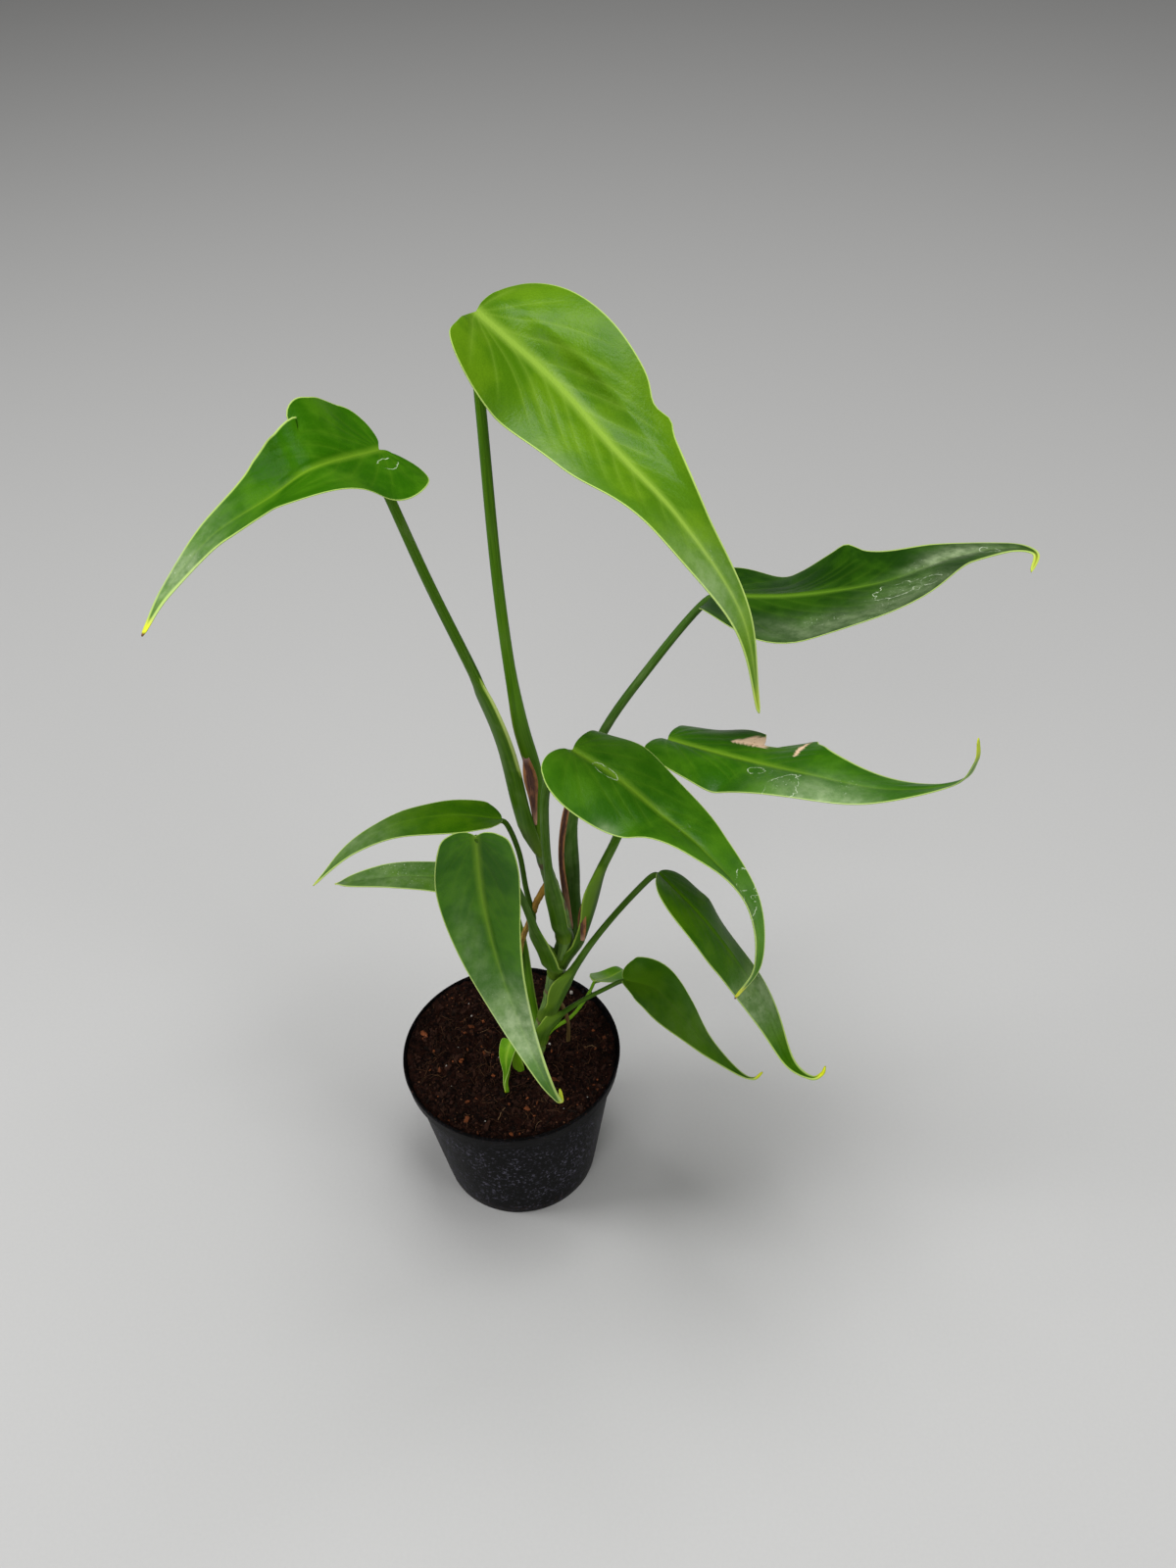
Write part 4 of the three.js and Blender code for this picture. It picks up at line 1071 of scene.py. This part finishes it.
def make_pot(material):
    """A thin tapered wall with a collar, a rolled lip and a floor with drain holes."""
    shape = Shape()
    tube(shape, np.array([circle(r, z, 160) for r, z in pot_profile()]))
    pot = shape.build("pot_fine", [material], node="pot", slot="pot")
    drains = Shape()
    for k in range(DRAIN_COUNT):
        angle = (k + 0.5) / DRAIN_COUNT * 2 * math.pi
        centre = DRAIN_CIRCLE * math.cos(angle), DRAIN_CIRCLE * math.sin(angle)
        tube(drains, np.array([circle(DRAIN_RADIUS, z, 24, centre) for z in (-2, 2 * FLOOR + 2)]))
    cutter = add_object("drains", drains.mesh("drains"))
    apply_modifier(pot, "BOOLEAN", operation="DIFFERENCE", solver="EXACT", object=cutter)
    bpy.data.meshes.remove(cutter.data)  # and the cutter with it
    apply_modifier(pot, "EDGE_SPLIT", split_angle=math.radians(40))


# Materials

class Signal:
    """A node's output. Arithmetic on it adds the nodes that work it out."""

    def __init__(self, nodes, socket):
        self.nodes = nodes
        self.socket = socket

    def __add__(self, other):
        return self.nodes.math("ADD", self, other)

    def __sub__(self, other):
        return self.nodes.math("SUBTRACT", self, other)

    def __mul__(self, other):
        return self.nodes.math("MULTIPLY", self, other)

    def __truediv__(self, other):
        return self.nodes.math("DIVIDE", self, other)

    def __abs__(self):
        return self.nodes.math("ABSOLUTE", self)


class Nodes:
    """Makes a material's nodes. A number, a colour or a signal goes in anywhere."""

    def __init__(self, name):
        self.material = bpy.data.materials.new(name)
        self.material.use_nodes = True
        self.tree = self.material.node_tree
        self.tree.nodes.clear()

    def add(self, kind, inputs=(), **settings):
        node = self.tree.nodes.new(kind)
        for key, value in settings.items():
            setattr(node, key, value)
        for key, value in dict(inputs).items():
            self.put(node.inputs[key], value)
        return node

    def put(self, socket, value):
        if isinstance(value, Signal):
            self.tree.links.new(value.socket, socket)
        elif socket.type == "RGBA":
            socket.default_value = (*value, 1)
        else:
            socket.default_value = value

    def out(self, which, kind, inputs=(), **settings):
        """One output of a new node."""
        return Signal(self, self.add(kind, inputs, **settings).outputs[which])

    def math(self, operation, a, b=0.0):
        return self.out(0, "ShaderNodeMath", {0: a, 1: b}, operation=operation)

    def larger(self, a, b):
        return self.math("MAXIMUM", a, b)

    def attribute(self, name):
        return self.out("Vector", "ShaderNodeAttribute", attribute_name=name)

    def split(self, vector):
        return [Signal(self, part) for part in self.add("ShaderNodeSeparateXYZ", {0: vector}).outputs]

    def vector(self, x, y, z):
        return self.out(0, "ShaderNodeCombineXYZ", {0: x, 1: y, 2: z})

    def scaled(self, vector, *factors):
        return self.out(0, "ShaderNodeVectorMath", {0: vector, 1: factors}, operation="MULTIPLY")

    def place(self):
        """Where a point lies on its piece, in mm."""
        return self.scaled(self.out("Object", "ShaderNodeTexCoord"), 1000, 1000, 1000)

    def ramp(self, value, low, high, start=0.0, end=1.0):
        """start at low, end at high, and smooth between."""
        inputs = {"Value": value, "From Min": low, "From Max": high, "To Min": start, "To Max": end}
        return self.out(0, "ShaderNodeMapRange", inputs, interpolation_type="SMOOTHSTEP")

    def noise(self, vector, scale=1.0, detail=2.0, roughness=0.5):
        inputs = {"Vector": vector, "Scale": scale, "Detail": detail, "Roughness": roughness}
        return self.out("Fac", "ShaderNodeTexNoise", inputs)

    def grain(self, mm, across, long, wide, detail, roughness=0.6, layer=0.0):
        """Noise along and round a stalk, finer as long and wide are larger."""
        return self.noise(self.vector(mm * long, across * wide, layer), 1.0, detail, roughness)

    def layers(self, colour, *layers):
        """A colour with others laid over it in turn, each as (strength, colour)."""
        for strength, over in layers:
            colour = self.out(2, "ShaderNodeMix", {0: strength, 6: colour, 7: over}, data_type="RGBA")
        return colour

    def bump(self, height, mm):
        """height 0 to 1 stands for this many mm."""
        return self.out(0, "ShaderNodeBump", {"Height": height, "Distance": mm * MM, "Strength": 1.0})

    def finish(self, colour, roughness, normal, **constants):
        inputs = {"Base Color": colour, "Roughness": roughness, "Normal": normal}
        inputs.update((key.replace("_", " "), value) for key, value in constants.items())
        self.add("ShaderNodeOutputMaterial", {"Surface": self.out(0, "ShaderNodeBsdfPrincipled", inputs)})
        return self.material


def drop_marks(n, flat, film):
    """Dried drops leave thin white outlines, and a few bright specks."""
    mark_x, mark_y, mark_size = n.split(n.attribute("mark"))
    bend = (n.noise(flat, 0.22, 2, 0.6) - 0.5) * 1.1
    reach = n.out("Value", "ShaderNodeVectorMath", {0: n.vector(mark_x, mark_y, 0.0)}, operation="LENGTH")
    ring = n.ramp(abs(reach + bend - 1.0) * mark_size, 0.08, 0.34, 1, 0)
    ring = ring * n.ramp(n.noise(flat, 0.3, 3, 0.6), 0.4, 0.52)
    dots = n.ramp(n.noise(flat, 1.5, 0), 0.78, 0.82) * n.ramp(n.noise(flat, 0.045, 1), 0.5, 0.6)
    dots = dots * n.ramp(film, 0.1, 0.9)
    return n.larger(ring * 0.75, dots * 0.7)


def blade_material(name, deep, fresh, rib, glow, rib_mm, veins, gloss):
    """A leaf's skin: darker between the veins, paler along the midrib, veins and margin, where the pale
    margin is partly a painted rim highlight, and with a whitish film that is partly dried water and partly
    painted sheen.

    glow is how wide and how strong the pale band along the midrib is, in mm and 0 to 1, and
    how far along the blade it has faded."""
    n = Nodes(name)
    flat = n.attribute("flat")
    _, out, seed = n.split(flat)
    out = abs(out)
    phase, gap, edge = n.split(n.attribute("vein"))
    tip, under, dry = n.split(n.attribute("spot"))
    film, yellow, brown = n.split(n.attribute("film"))
    mottle = n.noise(flat, 0.05, 3, 0.55)
    speck = n.noise(flat, 1.9)
    streak = n.noise(n.vector(phase * 3.5, out * 0.05, seed), 1.0, 3, 0.6)

    width, strength, end = glow
    band = n.ramp(out / n.ramp(tip, 0.0, 0.9, width, width * 0.35), 0.1, 1.0, 1, 0)
    band = band * n.ramp(tip, 0.25 * end, 0.95 * end, strength, strength * 0.3 * end)
    core = n.ramp(out / n.ramp(tip, 0.0, 1.0, rib_mm, rib_mm * 0.3), 0.4, 1.1, 1, 0)
    core = core * n.ramp(tip, 0.3 * end, end, strength, strength * 0.6 * end**2)
    from_vein = abs(phase - n.math("ROUND", phase)) * gap
    vein = n.ramp(from_vein, 0.1, 2.2, 1, 0) * 0.6 + n.ramp(from_vein, 0.1, 0.6, 1, 0) * 0.4
    vein = vein * (n.ramp(edge, 2.0, 14.0) * n.ramp(tip, 0.35, 0.8, 1, 0.15))
    margin = n.ramp(edge / n.ramp(tip, 0.4, 0.95, 0.65, 0.85), 0.35, 1.0, 1, 0)
    marks = drop_marks(n, flat, film)
    # A whitish veil: partly dried-water film, partly painted sheen.
    film_and_sheen_veil = film * n.ramp(n.noise(flat, 0.16, 4, 0.65), 0.3, 0.75, 0.35, 1.0)
    burnt = n.ramp(n.noise(flat, 0.7, 3, 0.6), 0.55, 0.75)

    colour = n.layers(
        deep,
        (n.ramp(mottle, 0.38, 0.66), fresh),
        (n.ramp(streak, 0.45, 0.75) * 0.22, fresh),
        (n.ramp(speck, 0.35, 0.6, 0.12, 0), (0.01, 0.04, 0.003)),
        (band, rib),
        (vein * veins, rib),
        (core, rib),
        # The pale margin: partly its own colour and partly a painted rim highlight.
        (margin * 0.85, (0.52, 0.7, 0.17)),
        (n.ramp(tip, 0.93, 0.97) * yellow, (0.72, 0.76, 0.02)),
        (n.ramp(tip, 0.985, 0.995) * brown, (0.16, 0.05, 0.02)),
        # painted sheen mixed with dried-water film, as a whitish veil
        (film_and_sheen_veil * 0.32, (0.46, 0.58, 0.32)),
        (marks, (0.6, 0.7, 0.5)),
        (under * 0.5, (0.16, 0.3, 0.06)),
        (dry, n.layers((0.95, 0.67, 0.46), (burnt, (0.5, 0.27, 0.13)))),
    )
    rough = n.ramp(speck, 0.2, 0.8, 0.3, 0.4) + film_and_sheen_veil * 0.08 + n.larger(under * 0.2, dry) * 0.5
    height = speck * 0.35 + streak * 0.9 - vein * 0.6 + marks * 0.3 + n.noise(flat, 0.7) * 2.0
    return n.finish(colour, rough, n.bump(height, 0.08), Specular_IOR_Level=gloss, IOR=1.45)


def stalk_material(name, deep, fresh, bloom):
    """A petiole: green, streaked along its length, with a greyish bloom and pale sheath rims."""
    n = Nodes(name)
    mm, round_it, rim = n.split(n.attribute("stalk"))
    t, young, _ = n.split(n.attribute("spot"))
    streak = n.grain(mm, round_it, 0.03, 26, 3)
    cloud = n.grain(mm, round_it, 0.06, 3, 4, layer=3.0)
    fleck = n.noise(n.vector(mm, round_it * 14, 7.0), 1.6, 1)
    colour = n.layers(
        deep,
        (n.ramp(streak, 0.3, 0.75), fresh),
        (n.ramp(cloud, 0.45, 0.75) * bloom, (0.17, 0.25, 0.08)),
        (n.ramp(fleck, 0.74, 0.8, 0, 0.3), (0.4, 0.5, 0.24)),
        (n.ramp(t, 0.0, 0.14, 0.4, 0), (0.24, 0.36, 0.04)),
        (n.ramp(young, 0.0, 1.0, 0, 0.55), (0.16, 0.3, 0.02)),
        (n.ramp(rim, 0.25, 0.8, 0, 0.8), (0.34, 0.5, 0.07)),
        (n.ramp(rim, 0.9, 1.6), (0.5, 0.62, 0.18)),
    )
    normal = n.bump(streak * 0.8 + fleck * 0.2, 0.1)
    return n.finish(colour, n.ramp(cloud, 0.2, 0.8, 0.36, 0.5), normal, Specular_IOR_Level=0.1, IOR=1.45)


def stem_material():
    """Green with corky bands round it."""
    n = Nodes("stem")
    mm, round_it, _ = n.split(n.attribute("stalk"))
    wobble = n.grain(mm, round_it, 0.1, 5, 3, 0.5) * 5
    bands = n.noise(n.vector((mm + wobble) * 0.12, 0.0, 0.0), 1.0, 1)
    streak = n.grain(mm, round_it, 0.08, 24, 4)
    colour = n.layers(
        (0.06, 0.14, 0.02),
        (n.ramp(streak, 0.3, 0.7), (0.17, 0.3, 0.05)),
        (n.ramp(mm, 20, 60, 0.6, 0), (0.3, 0.36, 0.06)),
        (n.ramp(bands, 0.56, 0.64, 0, 0.8), (0.13, 0.07, 0.035)),
    )
    return n.finish(colour, n.ramp(streak, 0.2, 0.8, 0.45, 0.65), n.bump(streak, 0.4), Specular_IOR_Level=0.4)


def root_material():
    """Orange at its upper end, then olive, or all dull brown."""
    n = Nodes("root")
    mm, round_it, dull = n.split(n.attribute("stalk"))
    streak = n.grain(mm, round_it, 0.22, 9, 5, 0.65)
    colour = n.layers(
        (0.2, 0.1, 0.015),
        (n.ramp(streak, 0.35, 0.7), (0.5, 0.32, 0.04)),
        (n.ramp(mm, 8, 40, 0.6, 0), (0.5, 0.25, 0.03)),
        (dull * 0.85, (0.09, 0.06, 0.02)),
    )
    return n.finish(colour, n.ramp(streak, 0.2, 0.8, 0.6, 0.85), n.bump(streak, 0.5), Specular_IOR_Level=0.3)


def dry_material():
    n = Nodes("dry_sheath")
    mm, across, t = n.split(n.attribute("stalk"))
    streak = n.grain(mm, across, 0.07, 15, 5, 0.65)
    blotch = n.grain(mm, across, 0.16, 3, 3, layer=4.0)
    colour = n.layers(
        (0.035, 0.014, 0.012),
        (n.ramp(streak, 0.3, 0.72), (0.15, 0.06, 0.04)),
        (n.ramp(blotch, 0.5, 0.7, 0, 0.75), (0.32, 0.13, 0.06)),
        (n.ramp(abs(across - 0.5), 0.18, 0.42, 0, 0.85) * n.ramp(blotch, 0.3, 0.55), (0.42, 0.17, 0.05)),
        (n.ramp(t, 0.0, 0.3, 0.9, 0), (0.62, 0.34, 0.22)),
        (n.ramp(t, 0.9, 1.0, 0, 0.6), (0.4, 0.24, 0.2)),
    )
    return n.finish(colour, n.ramp(streak, 0.2, 0.8, 0.55, 0.8), n.bump(streak, 0.3), Specular_IOR_Level=0.35)


def soil_material():
    n = Nodes("soil")
    place = n.place()
    fine = n.noise(place, 1.6, 4, 0.7)
    colour = n.layers(
        (0.003, 0.0012, 0.001),
        (n.ramp(n.noise(place, 0.3, 4, 0.65), 0.38, 0.66), (0.022, 0.007, 0.004)),
        (n.ramp(fine, 0.52, 0.7, 0, 0.8), (0.06, 0.019, 0.01)),
    )
    return n.finish(colour, n.ramp(fine, 0.3, 0.7, 0.8, 0.95), n.bump(fine, 1.2), Specular_IOR_Level=0.08)


def litter_material(name, darkest, usual, brightest, grain, rough):
    """Bits of litter: tint picks the colour of each."""
    n = Nodes(name)
    tint = n.out("Fac", "ShaderNodeAttribute", attribute_name="tint")
    stripe = n.noise(n.scaled(n.place(), 1, 1, 2.5), grain, 4, 0.65)
    colour = n.layers(darkest, (n.ramp(tint, 0.0, 0.7), usual), (n.ramp(tint, 0.9, 1.0), brightest))
    # Darker stripes of grain in each bit.
    dark_grain = n.layers(colour, (0.5, (0.01, 0.006, 0.004)))
    colour = n.layers(dark_grain, (n.ramp(stripe, 0.38, 0.62), colour))
    return n.finish(colour, rough, n.bump(stripe, 0.4), Specular_IOR_Level=0.1)


def pot_material():
    """Black moulded plastic with dried splashes, dust and a little soil on its lip and foot."""
    n = Nodes("pot")
    place = n.place()
    _, _, z = n.split(place)
    grime = n.noise(n.scaled(place, 1, 1, 0.7), 0.11, 3, 0.6)
    drops = n.noise(place, 0.5, 3, 0.6)
    splash = n.noise(n.scaled(place, 1, 1, 0.6), 0.5, 3, 0.7)
    fine = n.noise(place, 2.2, 2, 0.6)
    dotted = n.ramp(drops, 0.55, 0.64) * n.ramp(grime, 0.34, 0.56, 0.2, 1)
    runs = n.ramp(splash, 0.56, 0.64) * n.ramp(grime, 0.44, 0.62)
    below_collar = n.ramp(z, 68, 86, 1, 0.12) * n.ramp(z, 2, 12, 0.5, 1)
    splashed = n.larger(dotted, runs * 0.6) * below_collar
    dusty = n.ramp(fine, 0.5, 0.75) * n.ramp(grime, 0.4, 0.75, 0.1, 0.6)
    foot = n.ramp(n.noise(place, 0.9, 4, 0.7), 0.58, 0.68) * n.ramp(z, 4, 14, 1, 0)
    lip = n.ramp(n.noise(place, 0.7, 4, 0.7), 0.6, 0.7) * n.ramp(z, 88, 93, 0, 0.7)
    colour = n.layers(
        (0.002, 0.002, 0.0022),
        (dusty * 0.5, (0.007, 0.007, 0.008)),
        (splashed * 0.85, (0.11, 0.105, 0.14)),
        (n.larger(foot, lip) * 0.7, (0.12, 0.05, 0.03)),
    )
    rough = n.ramp(fine, 0.3, 0.7, 0.34, 0.44) + splashed * 0.3
    return n.finish(colour, rough, n.bump(fine + splashed, 0.05), Specular_IOR_Level=0.03, IOR=1.49)


def floor_material():
    n = Nodes("floor")
    cloud = n.noise(n.place(), 0.5, 3, 0.6)
    colour = n.layers([0.94 * c for c in FLOOR_COLOUR], (cloud, FLOOR_COLOUR))
    return n.finish(colour, 0.7, n.bump(cloud, 0.01))


# The skins, by the names that LEAVES gives. MATURE is what two of them share.
MATURE = dict(
    deep=(0.026, 0.12, 0.001), fresh=(0.06, 0.19, 0.004), rib=(0.16, 0.31, 0.015), rib_mm=0.9, veins=0.1,
)
SKINS = {
    "young": dict(
        deep=(0.07, 0.185, 0.002), fresh=(0.112, 0.245, 0.004), rib=(0.28, 0.45, 0.05),
        glow=(6, 0.7, 1), rib_mm=2.0, veins=0.2, gloss=0.14,
    ),
    "mature": dict(MATURE, glow=(3.5, 0.6, 0.65), gloss=0.16),
    "matt": dict(MATURE, glow=(3.5, 0.6, 0.7), gloss=0.04),
    "dull": dict(
        deep=(0.033, 0.12, 0.001), fresh=(0.066, 0.175, 0.002), rib=(0.1, 0.22, 0.008),
        glow=(3, 0.2, 0.65), rib_mm=0.8, veins=0.05, gloss=0.05,
    ),
    "old": dict(
        deep=(0.009, 0.045, 0.001), fresh=(0.024, 0.085, 0.002), rib=(0.12, 0.25, 0.015),
        glow=(4, 0.6, 0.6), rib_mm=1.0, veins=0.1, gloss=0.08,
    ),
    "small": dict(
        deep=(0.08, 0.24, 0.003), fresh=(0.16, 0.38, 0.008), rib=(0.3, 0.5, 0.04),
        glow=(2, 0.5, 0.9), rib_mm=0.7, veins=0.1, gloss=0.16,
    ),
}
STALKS = {
    "young": dict(deep=(0.05, 0.15, 0.002), fresh=(0.1, 0.24, 0.006), bloom=0.15),
    "mature": dict(deep=(0.034, 0.1, 0.002), fresh=(0.07, 0.17, 0.006), bloom=0.35),
    "dull": dict(deep=(0.03, 0.085, 0.003), fresh=(0.065, 0.15, 0.008), bloom=0.2),
    "old": dict(deep=(0.028, 0.08, 0.005), fresh=(0.055, 0.13, 0.014), bloom=0.4),
    "small": dict(deep=(0.1, 0.26, 0.004), fresh=(0.2, 0.4, 0.015), bloom=0.05),
}
LITTER = {
    "bark": dict(
        darkest=(0.006, 0.003, 0.002), usual=(0.04, 0.015, 0.009), brightest=(0.3, 0.085, 0.028),
        grain=0.7, rough=0.8,
    ),
    "crumb": dict(
        darkest=(0.004, 0.002, 0.0015), usual=(0.04, 0.016, 0.01), brightest=(0.16, 0.07, 0.035),
        grain=1.5, rough=0.9,
    ),
    "perlite": dict(
        darkest=(0.55, 0.5, 0.45), usual=(0.75, 0.7, 0.66), brightest=(0.8, 0.62, 0.58),
        grain=1.8, rough=0.7,
    ),
    "fibre": dict(
        darkest=(0.03, 0.013, 0.007), usual=(0.12, 0.055, 0.026), brightest=(0.34, 0.2, 0.1),
        grain=1.0, rough=0.8,
    ),
}
FLOOR_COLOUR = (0.55, 0.55, 0.545)
FLOOR_REACH = 40  # in metres


# Lights, floor and camera

# Each light's place and size in metres, and its power. All of them face LIT_PLACE.
LIGHTS = {
    "overhead": ((0.3, 0.1, 2.4), (1.3, 1.0), 36),
    "front_right": ((1.6, -1.4, 1.2), (0.9, 0.9), 14),
    "left": ((-1.8, -0.1, 1.5), (0.8, 0.9), 20),
    "front": ((-0.5, -2.0, 1.9), (1.0, 1.0), 16),
}
LIT_PLACE = (0.05, 0, 0.3)
SKY_COLOUR = (1, 0.98, 0.95, 1)
SKY_STRENGTH = 0.08


def area_light(name, place, size, power):
    light = bpy.data.lights.new(name, "AREA")
    light.shape = "RECTANGLE"
    light.size, light.size_y = size
    light.energy = power
    obj = add_object(name, light)
    obj.location = place
    obj.rotation_euler = (Vector(LIT_PLACE) - Vector(place)).to_track_quat("-Z", "Y").to_euler()


def make_studio():
    world = bpy.data.worlds.new("studio")
    world.use_nodes = True
    background = world.node_tree.nodes["Background"]
    background.inputs["Color"].default_value = SKY_COLOUR
    background.inputs["Strength"].default_value = SKY_STRENGTH
    bpy.context.scene.world = world
    bpy.context.scene.view_settings.view_transform = "Standard"
    for name, light in LIGHTS.items():
        area_light(name, *light)
    r = FLOOR_REACH
    mesh = bpy.data.meshes.new("floor")
    mesh.from_pydata([(-r, -r, 0), (r, -r, 0), (r, r, 0), (-r, r, 0)], [], [(0, 1, 2, 3)])
    mesh.materials.append(floor_material())
    floor = add_object("floor", mesh)


def make_camera():
    down, roll = math.radians(CAMERA_DOWN), math.radians(CAMERA_ROLL)
    forward = Vector((0, math.cos(down), -math.sin(down)))
    right = Vector((1, 0, 0))
    up = right.cross(forward)
    rolled_right = right * math.cos(roll) + up * math.sin(roll)
    rolled_up = up * math.cos(roll) - right * math.sin(roll)
    data = bpy.data.cameras.new("camera")
    data.lens = CAMERA_LENS
    data.sensor_width = CAMERA_SENSOR
    data.clip_start = 0.02
    camera = add_object("camera", data)
    turn = Matrix((rolled_right, rolled_up, -forward)).transposed().to_4x4()
    camera.matrix_world = Matrix.Translation(Vector(CAMERA_PLACE) * MM) @ turn
    bpy.context.scene.camera = camera


def make_plant():
    skins = {key: blade_material("leaf_" + key, **skin) for key, skin in SKINS.items()}
    stalks = {key: stalk_material("stalk_" + key, **stalk) for key, stalk in STALKS.items()}
    for name, given in LEAVES.items():
        leaf = {**PLAIN_LEAF, **given}
        make_leaf(name, leaf, [skins[leaf["skin"]], stalks[leaf["stalk"] or leaf["skin"]]])
    make_stem(stem_material())
    root_skin, dry_skin = root_material(), dry_material()
    for name, root in ROOTS.items():
        make_root(name, root, root_skin)
    for name, sheath in DRY_SHEATHS.items():
        make_dry_sheath(name, sheath, dry_skin)


make_camera()
make_studio()
make_plant()
make_soil(soil_material())
make_litter()
make_pot(pot_material())
